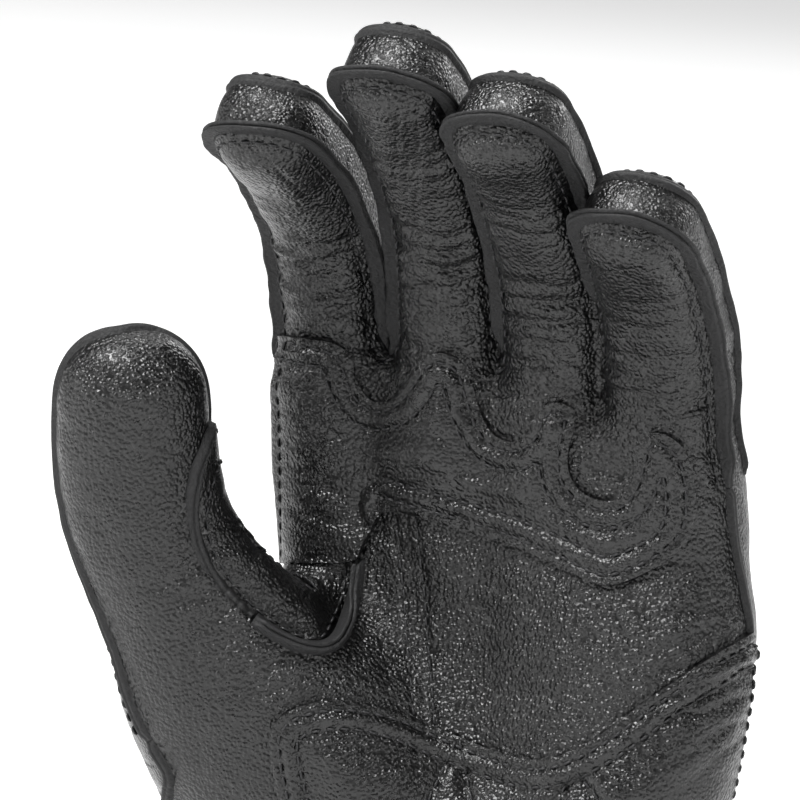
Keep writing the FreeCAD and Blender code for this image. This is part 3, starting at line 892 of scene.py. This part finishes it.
def stitches(path, rise=0.2):
    """A stitch every few millimetres along a line, its ends drawn into the leather."""
    count = max(1, int(path.length / PITCH))
    middle = (np.arange(count) + 0.5) * path.length / count
    rings = np.array([-1, -0.86, -0.5, 0, 0.5, 0.86, 1])
    thin = np.array([0.35, 0.8, 1, 1, 1, 0.8, 0.35])
    dip = np.array([-0.42, -0.2, 0, 0.05, 0, -0.2, -0.42])
    turn = np.linspace(0, 2 * np.pi, 7)[:-1]
    verts, faces = [], []
    for centre, along, up in zip(*path.at(middle)):
        side = np.cross(up, along)
        middle_line = centre + np.outer(rings * STITCH / 2, along) + np.outer(rise + dip, up)
        ring = np.cos(turn)[:, None] * side + np.sin(turn)[:, None] * up
        first = len(verts) * len(rings) * len(turn)
        verts.append((middle_line[:, None] + ring[None] * (THREAD * thin)[:, None, None]).reshape(-1, 3))
        for a in range(len(rings) - 1):
            for b in range(6):
                c = (b + 1) % 6
                low, high = first + a * 6, first + a * 6 + 6
                faces.append([low + b, low + c, high + c, high + b])
        faces.append([first + b for b in range(6)][::-1])
        faces.append([first + (len(rings) - 1) * 6 + b for b in range(6)])
    return np.concatenate(verts), faces


def joined(parts):
    """Several meshes in one."""
    verts, faces, base = [], [], 0
    for v, f in parts:
        verts.append(v)
        faces += [[i + base for i in face] for face in f]
        base += len(v)
    return np.concatenate(verts), faces


# Raw edges of two leathers sewn face to face, and the low seam of the side of the hand.
WELT = [(-1.8, -0.7), (-1.0, 0.2), (-0.85, 1.8), (-0.7, 2.1), (-0.22, 2.15), (-0.06, 1.6), (0.06, 1.6),
        (0.22, 2.35), (0.7, 2.3), (0.85, 1.9), (1.0, 0.2), (1.8, -0.7)]
LOW_WELT = [(-1.7, -0.5), (-1.1, 0.1), (-0.95, 0.75), (-0.7, 1.0), (-0.15, 0.95), (0, 0.6), (0.15, 0.8),
            (0.8, 0.75), (1.0, 0.4), (1.3, 0.0), (1.7, -0.5)]


# ---- materials
def new_material(name):
    material = bpy.data.materials.new(name)
    material.use_nodes = True
    return material, material.node_tree.nodes, material.node_tree.links, \
        material.node_tree.nodes["Principled BSDF"]


def ramp(nodes, links, source, low, high, start=0.0, end=1.0):
    node = nodes.new("ShaderNodeMapRange")
    links.new(source, node.inputs["Value"])
    for socket, value in (("From Min", low), ("From Max", high), ("To Min", start), ("To Max", end)):
        node.inputs[socket].default_value = value
    return node.outputs["Result"]


def bump_node(nodes, links, height, distance, strength=1.0, below=None):
    node = nodes.new("ShaderNodeBump")
    node.inputs["Strength"].default_value = strength
    node.inputs["Distance"].default_value = distance
    links.new(height, node.inputs["Height"])
    if below is not None:
        links.new(below, node.inputs["Normal"])
    return node.outputs["Normal"]


def colour_mix(nodes, links, factor, first, second):
    node = nodes.new("ShaderNodeMix")
    node.data_type = "RGBA"
    links.new(factor, node.inputs["Factor"])
    for socket, value in (("A", first), ("B", second)):
        place = [s for s in node.inputs if s.name == socket and s.type == "RGBA"][0]
        if isinstance(value, tuple):
            place.default_value = value + (1,)
        else:
            links.new(value, place)
    return [s for s in node.outputs if s.type == "RGBA"][0]


def texture(nodes, links, kind, scale, coords, **settings):
    node = nodes.new(kind)
    for key, value in settings.items():
        if isinstance(value, str):
            setattr(node, key, value)
        else:
            node.inputs[key].default_value = value
    node.inputs["Scale"].default_value = scale
    links.new(coords, node.inputs["Vector"])
    return node


def leather_material(name, grain=0.76, depth=0.27, rough=(0.25, 0.36), colour=0.003, holes=False):
    """Black full-grain leather: pebbles with creases between them and fine wrinkles; its colour is painted
    darker in the creases, as painted shade, and lighter on the pebbles' tops.
    """
    material, nodes, links, shader = new_material(name)
    coords = nodes.new("ShaderNodeTexCoord").outputs["Object"]
    warp = texture(nodes, links, "ShaderNodeTexNoise", 1200, coords, Detail=2.0)
    mixed = nodes.new("ShaderNodeVectorMath")
    mixed.operation = "MULTIPLY_ADD"
    links.new(warp.outputs["Color"], mixed.inputs[0])
    mixed.inputs[1].default_value = (0.0005,) * 3
    links.new(coords, mixed.inputs[2])
    pebble = texture(nodes, links, "ShaderNodeTexVoronoi", 1000 / grain, mixed.outputs[0],
                     feature="SMOOTH_F1", Smoothness=0.25)
    cells = ramp(nodes, links, pebble.outputs["Distance"], 0.1, 0.75, 1.0, 0.0)
    fine = texture(nodes, links, "ShaderNodeTexNoise", 3200, coords, Detail=3.0, Roughness=0.6)
    wrinkle = texture(nodes, links, "ShaderNodeTexNoise", 230, coords,
                      Detail=4.0, Roughness=0.55, Distortion=0.2)
    broad = texture(nodes, links, "ShaderNodeTexNoise", 45, coords, Detail=3.0)
    normal = bump_node(nodes, links, wrinkle.outputs["Fac"], 0.0002, 0.4)
    normal = bump_node(nodes, links, cells, depth * MM, 1.0, normal)
    normal = bump_node(nodes, links, fine.outputs["Fac"], 0.00005, 0.6, normal)
    # painted shade: the colour is darker in the creases between the pebbles and lighter on their tops
    crease_shade = ramp(nodes, links, cells, 0.2, 0.9)
    tone = colour_mix(nodes, links, crease_shade, (colour * 0.55,) * 3, (colour * 1.15, colour * 1.12, colour * 1.14))
    patchy = ramp(nodes, links, broad.outputs["Fac"], 0.35, 0.7)
    tone = colour_mix(nodes, links, patchy, tone, (colour * 0.8, colour * 0.78, colour * 0.8))
    gloss = ramp(nodes, links, wrinkle.outputs["Fac"], 0.3, 0.7, *rough)
    if holes:
        tone, normal = perforate(nodes, links, tone, normal)
    links.new(tone, shader.inputs["Base Color"])
    links.new(gloss, shader.inputs["Roughness"])
    links.new(normal, shader.inputs["Normal"])
    shader.inputs["Specular IOR Level"].default_value = 0.5
    shader.inputs["Coat Weight"].default_value = 0.06
    shader.inputs["Coat Roughness"].default_value = 0.3
    return material


HOLE_PITCH, HOLE_RADIUS = 3.0, 0.5    # mm


def perforate(nodes, links, tone, normal):
    """Rows of punched holes, laid out on the piece's own flat coordinates in mm."""
    flat = nodes.new("ShaderNodeUVMap")
    flat.uv_map = "UVMap"
    part = nodes.new("ShaderNodeSeparateXYZ")
    links.new(flat.outputs["UV"], part.inputs["Vector"])

    def math_node(operation, first, second=None):
        node = nodes.new("ShaderNodeMath")
        node.operation = operation
        for k, value in enumerate((first, second)):
            if value is None:
                continue
            if isinstance(value, (int, float)):
                node.inputs[k].default_value = value
            else:
                links.new(value, node.inputs[k])
        return node.outputs[0]

    def offset(source, pitch):
        share = math_node("FRACT", math_node("DIVIDE", source, pitch))
        return math_node("MULTIPLY", math_node("SUBTRACT", share, 0.5), pitch)

    across = offset(part.outputs["X"], HOLE_PITCH)
    along = offset(part.outputs["Y"], HOLE_PITCH)
    squares = [math_node("POWER", x, 2.0) for x in (across, along)]
    distance = math_node("SQRT", math_node("ADD", *squares))
    # painted shade: each hole is coloured near-black for the shade inside it
    hole_shade = ramp(nodes, links, distance, HOLE_RADIUS * 0.8, HOLE_RADIUS * 1.15, 1.0, 0.0)
    depth = ramp(nodes, links, distance, HOLE_RADIUS * 0.6, HOLE_RADIUS * 1.9, 0.0, 1.0)
    return colour_mix(nodes, links, hole_shade, tone, (0.001, 0.001, 0.001)), \
        bump_node(nodes, links, depth, 0.0006, 1.0, normal)


def plain_material(name, colour, rough, scale, depth, sheen=0.0, kind="ShaderNodeTexNoise"):
    """Cut edges, thread, textile: a matt colour with a fine uneven surface."""
    material, nodes, links, shader = new_material(name)
    coords = nodes.new("ShaderNodeTexCoord").outputs["Object"]
    grain = texture(nodes, links, kind, scale, coords)
    height = grain.outputs["Fac"] if kind == "ShaderNodeTexNoise" else grain.outputs["Distance"]
    spread = ramp(nodes, links, height, 0.2, 0.8)
    dark = tuple(c * 0.6 for c in colour)
    links.new(colour_mix(nodes, links, spread, dark, tuple(colour)), shader.inputs["Base Color"])
    links.new(ramp(nodes, links, height, 0.2, 0.8, rough - 0.08, rough + 0.08), shader.inputs["Roughness"])
    links.new(bump_node(nodes, links, height, depth * MM), shader.inputs["Normal"])
    shader.inputs["Sheen Weight"].default_value = sheen
    shader.inputs["Sheen Roughness"].default_value = 0.5
    return material


LEATHER_FACE = leather_material("leather_face")
PATCH_FACE = leather_material("patch_leather_face", grain=0.76, depth=0.2, rough=(0.24, 0.34))
SOFT_FACE = leather_material("soft_leather_face", grain=0.66, depth=0.2, rough=(0.25, 0.36))
HOLED_FACE = leather_material("perforated_leather_face", grain=0.66, depth=0.2, holes=True)
RAW_EDGE = plain_material("raw_edge", (0.008, 0.008, 0.0085), 0.7, 1300, 0.35)
THREAD_FACE = plain_material("thread", (0.012, 0.012, 0.013), 0.5, 4000, 0.05)
BINDING_FACE = plain_material("binding_leather", (0.018, 0.018, 0.019), 0.5, 1400, 0.1)
LINING_FACE = plain_material("lining_textile", (0.035, 0.035, 0.038), 0.85, 1800, 0.18, 0.3,
                             "ShaderNodeTexVoronoi")
ELASTIC_FACE = plain_material("elastic_textile", (0.02, 0.02, 0.022), 0.8, 2200, 0.15, 0.2)
HOOK_FACE = plain_material("hook_and_loop_textile", (0.016, 0.016, 0.017), 0.9, 2600, 0.3, 0.5)


# ---- seams and stitches as pieces
def seam_piece(name, paths, profile, wobble, seed, taper=2.0):
    """Raised cut edges along some lines."""
    parts = [sweep(path, profile, wobble, seed, taper) for path in paths]
    return add_object(name, *joined(parts), RAW_EDGE, "leather")


def stitch_piece(name, paths, slot="leather"):
    """Stitches along some lines."""
    return add_object(name, *joined([stitches(path) for path in paths]), THREAD_FACE, slot)


def two_rows(sheet, edge):
    """The two rows of stitches along an edge."""
    return [path for level in (ROW_NEAR, ROW_FAR) for path in sheet.trace(edge, level, 8)]


# ---- placing pieces: each piece's transform is baked into its mesh
def metres(p):
    return tuple(float(c) * MM for c in p)


def blend_row(piece):
    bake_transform(piece)


def blend_finger():
    def ride(piece):
        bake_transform(piece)
    return ride


def blend_thumb_joint(piece):
    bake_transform(piece)


# ---- fingers
def finger_sheet(name):
    """All the leather of one finger beyond its root."""
    k = NAMES.index(name)
    at = field.limb[name]
    others = np.delete(field.finger_d, k, 1).min(1)
    start = FINGERS[name]["fork"] - 6
    mask = (at["s"] > start - 3) & (at["d"] < others + 3) & (at["d"] < 8)
    sheet = Sheet(mask, own=others - at["d"], s=at["s"], v=at["v"])
    return sheet.cut("own").cut("s", start).biggest(400)


def finger_pieces(name):
    ride = blend_finger()
    whole = finger_sheet(name)
    palm = whole.cut("v", PALM_EDGE, keep_above=False)
    wall = whole.cut("v", PALM_EDGE).cut("v", BACK_EDGE, keep_above=False)
    back = whole.cut("v", BACK_EDGE)
    nodes = {"palm": ("palm", "base_palm"), "wall": ("wall", "fold"), "back": ("back", "base_back")}
    for part, sheet, material, slot in (("palm", palm, LEATHER_FACE, "leather"),
                                        ("wall", wall, SOFT_FACE, "soft_leather"),
                                        ("back", back, LEATHER_FACE, "leather")):
        piece = leather_piece("%s_%s_leather" % (name, part), sheet, material, slot)
        ride(piece)
        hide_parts(*["%s_%s" % (name, node) for node in nodes[part]])
    seed = 3 * NAMES.index(name) + 1
    rows = whole.trace("v", PALM_EDGE - PALM_ROW, 20) + whole.trace("v", BACK_EDGE + BACK_ROW, 20)
    ride(seam_piece(name + "_raw_seam", whole.trace("v", PALM_EDGE, 20), WELT, 0.18, seed, 6))
    ride(seam_piece(name + "_back_seam", whole.trace("v", BACK_EDGE, 20), LOW_WELT, 0.15, 40))
    ride(stitch_piece(name + "_stitches", rows))


for finger in NAMES:
    finger_pieces(finger)


# ---- the hand
CUFF_TOP = 45.0
LINING_TOP = 112.0


def finger_field():
    """Above 0 on the fingers beyond their roots."""
    out = np.full(len(base_v), -99.0)
    for k, name in enumerate(NAMES):
        at = field.limb[name]
        others = np.delete(field.finger_d, k, 1).min(1)
        out = np.maximum(out, np.minimum(others - at["d"], at["s"] - FINGERS[name]["fork"] + 6))
    return out


THUMB_SWING = unit([-0.45, -0.8, 0.35])    # across the root of the thumb, from the palm outwards


def thumb_field():
    """Above 0 on the thumb beyond its root."""
    beyond = (base_v - joint_point("thumb_root")) @ THUMB_SWING - 7
    near = field.limb["thumb"]["d"]
    return np.min([beyond, field.palm_d - near + 8, 10 - near], 0)


def back_line():
    """Above 0 on the back of the hand, below 0 on the back of the thumb."""
    x, _, z = base_v.T
    return x - np.interp(z, [40, 80, 105, 125, 140], [-22, -18, -24, -36, -46])


fingers, thumb, back_split = finger_field(), thumb_field(), back_line()
everything = np.ones(len(base_v), bool)
hand = Sheet(everything, 0.0, fingers=fingers, thumb=thumb)
hand = hand.cut("fingers", 0, False).cut("thumb", 0, False).cut("z0", CUFF_TOP - 2)


def blend_thumb(piece):
    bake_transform(piece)


def palm_pieces():
    palm = hand.cut("side").cut("overlay", 3.5, False)
    thenar = palm.cut("thumb_line", 0, False).cut("gusset", 0, False).biggest()
    piece = leather_piece("thenar_leather", thenar, LEATHER_FACE, "leather")
    blend_thumb(piece)
    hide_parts("thenar_panel", "thumb_mound_palm", "thumb_root_fold")
    rest = palm.cut("thumb_line").biggest()
    piece = leather_piece("palm_leather", rest, LEATHER_FACE, "leather")
    blend_row(piece)
    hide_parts("palm_panel", "palm_fold", "root_palm")


def fork_field():
    """Above 0 where the fingers part, on the back and between them."""
    return np.min([field.side + 18, base_v[:, 2] - 146, base_v[:, 0] + 27, 33 - base_v[:, 0]], 0)


def back_pieces():
    back = Sheet(everything, 0.0, fingers=fingers, thumb=thumb, split=back_split, fork=fork_field())
    back = back.cut("fingers", 0, False).cut("thumb", 0, False).cut("z0", CUFF_TOP - 2).cut("side", 0, False)
    forks = back.cut("fork")
    piece = leather_piece("fork_leather", forks, SOFT_FACE, "soft_leather")
    blend_row(piece)
    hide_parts("finger_forks")
    panel = back.cut("fork", 0, False)
    main = panel.cut("split").biggest()
    piece = leather_piece("back_leather", main, LEATHER_FACE, "leather")
    blend_row(piece)
    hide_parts("back_panel", "back_fold", "root_back")
    mound = panel.cut("split", 0, False).biggest()
    flat = np.stack([mound["x0"] * 0.75 + mound["y0"] * 0.66, mound["z0"]], 1)
    piece = leather_piece("thumb_mound_back_leather", mound, HOLED_FACE, "perforated_leather", uv=flat)
    blend_thumb(piece)
    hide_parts("thumb_mound_back")


def gusset_sheet():
    lift = np.where(field.gusset > 0, gusset_lift(field), -1.6)
    gusset = Sheet(everything, lift, thumb=thumb).cut("gusset", -2.5).cut("overlay", 0, False)
    return gusset.cut("thumb", 0, False).cut("side", -1.5).biggest()


def patch_pieces():
    """The padded patches of the palm, and the gusset between thumb and index finger."""
    overlay = Sheet(everything, overlay_lift(field)).cut("overlay").biggest()
    piece = leather_piece("palm_overlay_leather", overlay, PATCH_FACE, "patch_leather", PATCH_LEATHER)
    blend_row(piece)
    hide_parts("palm_overlay", "overlay_foam")
    piece = leather_piece("gusset_leather", gusset_sheet(), PATCH_FACE, "patch_leather")
    blend_thumb(piece)
    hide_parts("thumb_gusset")
    heel = Sheet(everything, heel_lift(field)).cut("heel").cut("side").biggest()
    piece = leather_piece("heel_patch_leather", heel, PATCH_FACE, "patch_leather", PATCH_LEATHER)
    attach(piece, "hand")
    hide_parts("heel_patch", "heel_foam")


def hand_seams():
    """The raised seams of the hand and the rows of stitches beside them."""
    side = hand.cut("overlay", 0, False).cut("gusset", 0, False)
    blend_row(seam_piece("side_seam", side.trace("side", 0, 25), LOW_WELT, 0.15, 60))
    palm = hand.cut("side").cut("overlay", 0, False)
    blend_thumb(seam_piece("gusset_seam", palm.trace("gusset", 0, 10), WELT, 0.2, 70))
    blend_thumb(stitch_piece("gusset_stitches", gusset_sheet().trace("gusset", GUSSET_ROW, 8)))
    palm = palm.cut("heel", 0, False)
    rows = [path for level in (-PALM_SEAM_ROW, PALM_SEAM_ROW) for path in palm.trace("thumb_line", level, 10)]
    piece = stitch_piece("palm_seam_stitches", rows)
    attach(piece, "hand")


def quilting_paths(heel):
    """The quilting lines laid on the patch: each point goes to the nearest point of the leather."""
    plane, paths = pattern(heel.v), []
    for line in QUILTING:
        ends = np.array(line, float)
        length = np.concatenate([[0], np.cumsum(np.hypot(*np.diff(ends, axis=0).T))])
        at = np.arange(0, length[-1], 0.7)
        wanted = np.stack([np.interp(at, length, ends[:, k]) for k in range(2)], 1)
        near = [np.argmin(((plane - w) ** 2).sum(1)) for w in wanted]
        paths.append(Path(heel.v[near], heel.n[near]))
    return paths


def patch_stitches():
    """Both rows round the palm patch, where its edge is sewn down, and those of the heel patch."""
    a, b = field.plane.T
    corner = np.maximum(a + 19.5, b + 5)
    overlay = Sheet(everything, overlay_lift(field), edge=field.overlay_rim, corner=corner, radial=-24 - a)
    overlay = overlay.cut("overlay", 0.6)
    rows = []
    for level in (ROW_NEAR, ROW_FAR):
        rows += overlay.cut("corner").trace("edge", level, 8)
        rows += overlay.cut("radial").trace("side", level, 8)
    blend_row(stitch_piece("overlay_stitches", rows))
    heel = Sheet(everything, heel_lift(field)).cut("side")
    piece = stitch_piece("heel_patch_stitches", two_rows(heel, "heel") + quilting_paths(heel))
    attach(piece, "hand")


palm_pieces()
back_pieces()
patch_pieces()
hand_seams()
patch_stitches()


# ---- the thumb
def thumb_pieces():
    at = field.limb["thumb"]
    inner = 9.0 * smoothstep(at["u"], -3, 5)
    angle = np.arctan2(-at["u"], at["v"])
    sunk = np.where(field.gusset > 0, gusset_lift(field), 0.0)
    whole = Sheet(everything, sunk, thumb=thumb, wall=field.side + inner, s=at["s"], turn=angle * 14)
    whole = whole.cut("thumb").biggest()
    palm = whole.cut("palm_part").biggest()
    wall = whole.cut("palm_part", 0, False).cut("wall").biggest()
    back = whole.cut("palm_part", 0, False).cut("wall", 0, False).biggest()
    flat = np.stack([back["turn"], back["s"]], 1)
    for part, sheet, material, slot, nodes, uv in (
            ("palm", palm, LEATHER_FACE, "leather", ("thumb_palm", "thumb_base_palm"), None),
            ("wall", wall, SOFT_FACE, "soft_leather", ("thumb_wall", "thumb_joint_fold"), None),
            ("back", back, HOLED_FACE, "perforated_leather", ("thumb_back", "thumb_base_back"), flat)):
        piece = leather_piece("thumb_%s_leather" % part, sheet, material, slot, uv=uv)
        blend_thumb_joint(piece)
        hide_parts(*nodes)
    seam = [sweep(path, LOW_WELT, 0.15, 80) for path in whole.trace("palm_part", 0, 20)]
    seam += [sweep(path, LOW_WELT, 0.15, 84) for path in wall.trace("wall", 0.05, 20)]
    rows = [stitches(path) for path in whole.cut("gusset", 0.5).trace("gusset", GUSSET_ROW, 8)]
    rows += [stitches(path) for path in back.trace("palm_part", -THUMB_ROW, 20)]
    for name, parts, material in (("thumb_raw_seam", seam, RAW_EDGE), ("thumb_stitches", rows, THREAD_FACE)):
        blend_thumb_joint(add_object(name, *joined(parts), material, "leather"))


thumb_pieces()


# ---- the back of the hand: knuckle guard
GUARD = [(-33, 137), (-34, 152), (-24, 158), (-16, 155), (-8, 157.5), (2, 156.5), (10, 151.5), (18, 152.5),
         (26, 147), (34, 147.5), (40, 141), (39, 128), (26, 122), (4, 126), (-18, 130)]


def knuckle_guard():
    on_back = base_v[:, [0, 2]]
    away = np.where(field.side < -5, 0.0, -60.0)
    edge = outline_field(on_back, GUARD) + away
    knuckles = np.zeros(len(base_v))
    for name in NAMES:
        pivot = joint_point(name + "_middle_joint")
        centre = np.array([pivot[0] * 0.97, pivot[2] - FINGERS[name]["length"][0] + 2])
        knuckles += bump(np.hypot(*((on_back - centre) * (1, 0.8)).T), 8.5)
    lift = PATCH_THICK + 1.4 * smoothstep(edge, ROW_FAR, 11) + 2.0 * knuckles * smoothstep(edge, ROW_FAR, 10)
    lift += stitch_rows(edge) - base_relief * 0.7
    whole = Sheet(everything, lift, guard=edge)
    guard = whole.cut("guard").biggest()
    piece = leather_piece("knuckle_guard_leather", guard, PATCH_FACE, "patch_leather", PATCH_LEATHER)
    blend_row(piece)
    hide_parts("knuckle_cover", "knuckle_foam")
    blend_row(stitch_piece("knuckle_guard_stitches", two_rows(whole, "guard")))


knuckle_guard()


# ---- the cuff, its strap and what is inside
def cuff_pieces():
    x, _, z = base_v.T
    gathers = 0.5 * np.sin(x * 1.7 + noise(base_v, 9, 130)) * bump(z - 38, 5) * bump(x, 20) * (field.side > 0)
    lift = 1.2 + stitch_rows(CUFF_TOP - z) + gathers - 0.5 * base_relief
    cuff = Sheet(everything, lift).cut("z0", 2).cut("z0", CUFF_TOP, False)
    for name, keep, nodes in (("palm", True, ("cuff_palm",)), ("back", False, ("cuff_back",))):
        piece = leather_piece("cuff_%s_leather" % name, cuff.cut("side", 0, keep), LEATHER_FACE, "leather")
        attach(piece, "hand")
        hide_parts(*nodes)
    rows = [stitches(p) for level in (ROW_NEAR, ROW_FAR) for p in cuff.trace("z0", CUFF_TOP - level, 8)]
    rows += [stitches(path, 1.9) for path in cuff.trace("z0", 6.0, 20)]
    ridge = [sweep(path, LOW_WELT, 0.1, 90) for path in cuff.trace("side", 0, 20)]
    ring = np.linspace(0, 2 * np.pi, 21)[:-1]
    roll = [(3.7 * np.sign(c) * abs(c) ** 0.7, -0.9 + 2.6 * np.sign(s) * abs(s) ** 0.8)
            for c, s in zip(np.cos(ring), np.sin(ring))]
    binding = [sweep(path, roll) for path in cuff.trace("z0", 3.9, 20)]
    for name, parts, material, slot in (("cuff_stitches", rows, THREAD_FACE, "leather"),
                                        ("cuff_seam", ridge, RAW_EDGE, "leather"),
                                        ("cuff_binding_roll", binding, BINDING_FACE, "binding")):
        piece = add_object(name, *joined(parts), material, slot)
        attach(piece, "hand")
    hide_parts("cuff_binding")


def inner_pieces():
    x, _, z = base_v.T
    inner = Sheet(everything, -2.2 - base_relief * 0.6, thumb=thumb)
    inner = inner.cut("z0", 3).cut("z0", LINING_TOP, False).cut("thumb", -12, False)
    piece = leather_piece("hand_lining_textile", inner.biggest(), LINING_FACE, "lining", 0.6)
    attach(piece, "hand")
    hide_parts("hand_lining")
    ribs = -3.0 + 0.35 * np.sin(x * 3.6) - base_relief * 0.6
    edge = np.minimum(5 - np.abs(z - 38), 23 - np.abs(x - 1))
    band = Sheet(everything, ribs, edge=np.where(field.side > 0, edge, -9.0)).cut("edge").biggest()
    piece = leather_piece("wrist_elastic_band", band, ELASTIC_FACE, "elastic", 1.0)
    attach(piece, "hand")
    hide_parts("wrist_elastic")


STRAP_LOW, STRAP_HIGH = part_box("strap_tab")
ANCHOR_LOW, ANCHOR_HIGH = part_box("strap_anchor")


def strap_outline(low, high, inset=0.0, nose=0.0):
    """A band round the back of the cuff, seen from behind; nose rounds off its free end."""
    x0, z0, x1, z1 = low[0] / MM + inset, low[2] / MM + inset, high[0] / MM - inset, high[2] / MM - inset
    middle = (z0 + z1) / 2
    if nose:
        return [(x0 + nose, z0), (x0 + nose * 0.25, z0 + 2), (x0, middle - 3), (x0, middle + 3),
                (x0 + nose * 0.25, z1 - 2), (x0 + nose, z1), (x1, z1), (x1, z0)]
    return [(x0, z0), (x0, z1), (x1, z1), (x1, z0)]


def strap_layer(name, outline, height, thick, material, slot, body, node, rows=(), ribs=0.0):
    """A layer of the strap or its patches, lying at a height above the cuff; rows are its stitches."""
    on_back = base_v[:, [0, 2]]
    edge = outline_field(on_back, outline) + np.where(field.side < -5, 0.0, -60.0)
    lift = height - base_relief * 0.9 - 0.4 * bump(edge, 0.7)
    for row in rows:
        lift = lift - 0.35 * bump(edge - row, 0.8)
    lift = lift + ribs * noise(base_v, 1.1, 140)
    whole = Sheet(everything, lift, edge=edge)
    piece = leather_piece(name, whole.cut("edge").biggest(), material, slot, thick)
    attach(piece, body)
    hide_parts(node)
    if rows:
        lines = [path for row in rows for path in whole.trace("edge", row, 8)]
        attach(stitch_piece(name + "_stitches", lines, slot), body)


def strap_pieces():
    tab = strap_outline(STRAP_LOW, STRAP_HIGH, nose=9)
    anchor = strap_outline(ANCHOR_LOW, ANCHOR_HIGH)
    loop = strap_outline(*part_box("strap_loop_patch"))
    hook = strap_outline(*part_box("strap_hook_patch"))
    strap_layer("strap_tab_leather", tab, 4.7, 1.5, LEATHER_FACE, "leather", "strap", "strap_tab", (2.2,))
    strap_layer("strap_hook_textile", hook, 3.1, 0.8, HOOK_FACE, "hook_and_loop",
                "strap", "strap_hook_patch", ribs=0.15)
    strap_layer("strap_loop_textile", loop, 2.2, 0.8, HOOK_FACE, "hook_and_loop",
                "hand", "strap_loop_patch", ribs=0.25)
    strap_layer("strap_anchor_leather", anchor, 4.4, 2.8, LEATHER_FACE, "leather",
                "hand", "strap_anchor", (2.2,))


cuff_pieces()
inner_pieces()
strap_pieces()


# ---- camera, light and floor
def add_camera():
    camera = bpy.data.cameras.new("camera")
    camera.sensor_width = 36
    camera.lens = 36 * VIEW_DISTANCE / VIEW_WIDTH
    camera.clip_end = 120
    holder = bpy.data.objects.new("camera", camera)
    bpy.context.scene.collection.objects.link(holder)
    aim = VIEW_TARGET - RIGHT * VIEW_OFFSET[0] + UP * VIEW_OFFSET[1]
    turn = Matrix(np.array([RIGHT, UP, BACK]).T.tolist()).to_4x4()
    holder.matrix_world = Matrix.Translation(Vector(metres(aim + BACK * VIEW_DISTANCE))) @ turn
    bpy.context.scene.camera = holder


def add_light(name, place, size, power, aim=(0, -0.02, 0.15)):
    light = bpy.data.lights.new(name, "AREA")
    light.shape, light.size, light.size_y = "RECTANGLE", size[0], size[1]
    light.energy = power
    holder = bpy.data.objects.new(name, light)
    holder.location = place
    holder.rotation_euler = (Vector(aim) - Vector(place)).to_track_quat("-Z", "Y").to_euler()
    bpy.context.scene.collection.objects.link(holder)


def add_world():
    """A studio that is pale near the horizon and dim overhead."""
    world = bpy.data.worlds.new("studio")
    world.use_nodes = True
    nodes, links = world.node_tree.nodes, world.node_tree.links
    nodes["Background"].inputs["Color"].default_value = (1, 1, 1, 1)
    height = nodes.new("ShaderNodeSeparateXYZ")
    links.new(nodes.new("ShaderNodeTexCoord").outputs["Generated"], height.inputs["Vector"])
    strength = ramp(nodes, links, height.outputs["Z"], 0.05, 0.2, 0.8, 0.08)
    links.new(strength, nodes["Background"].inputs["Strength"])
    bpy.context.scene.world = world


def add_floor():
    """A pale floor that glows a little away from the glove, so the leather doesn't mirror it."""
    material, nodes, links, shader = new_material("floor_paint")
    coords = nodes.new("ShaderNodeTexCoord").outputs["Object"]
    cloud = texture(nodes, links, "ShaderNodeTexNoise", 3, coords)
    links.new(colour_mix(nodes, links, cloud.outputs["Fac"], (0.93, 0.93, 0.93), (0.96, 0.96, 0.96)),
              shader.inputs["Base Color"])
    shader.inputs["Roughness"].default_value = 0.9
    shader.inputs["Emission Color"].default_value = (1, 1, 1, 1)
    away = nodes.new("ShaderNodeVectorMath")
    away.operation = "LENGTH"
    links.new(coords, away.inputs[0])
    glow = ramp(nodes, links, away.outputs["Value"], 0.3, 1.8, 0.15, 0.6)
    links.new(glow, shader.inputs["Emission Strength"])
    mesh = bpy.data.meshes.new("floor")
    half, level = 40.0, -0.002
    mesh.from_pydata([(-half, -half, level), (half, -half, level), (half, half, level), (-half, half, level)],
                     [], [(0, 1, 2, 3)])
    floor = bpy.data.objects.new("floor", mesh)
    mesh.materials.append(material)
    bpy.context.scene.collection.objects.link(floor)


add_camera()
add_world()
add_floor()
add_light("top_softbox", (-0.25, -0.45, 0.95), (0.42, 0.32), 14)
add_light("left_softbox", (-0.9, -0.6, 0.4), (0.15, 0.6), 2.4)
add_light("right_softbox", (0.95, -0.25, 0.4), (0.15, 0.6), 2.4)
add_light("back_softbox", (0.2, 1.0, 0.7), (0.9, 0.5), 8)
add_light("front_softbox", (0.3, -1.2, 0.85), (0.2, 0.15), 1.6)
add_light("background_light", (0.0, 4.0, 5.0), (7.0, 7.0), 230, (0.0, 5.0, 0.0))
bpy.context.scene.view_settings.view_transform = "Standard"
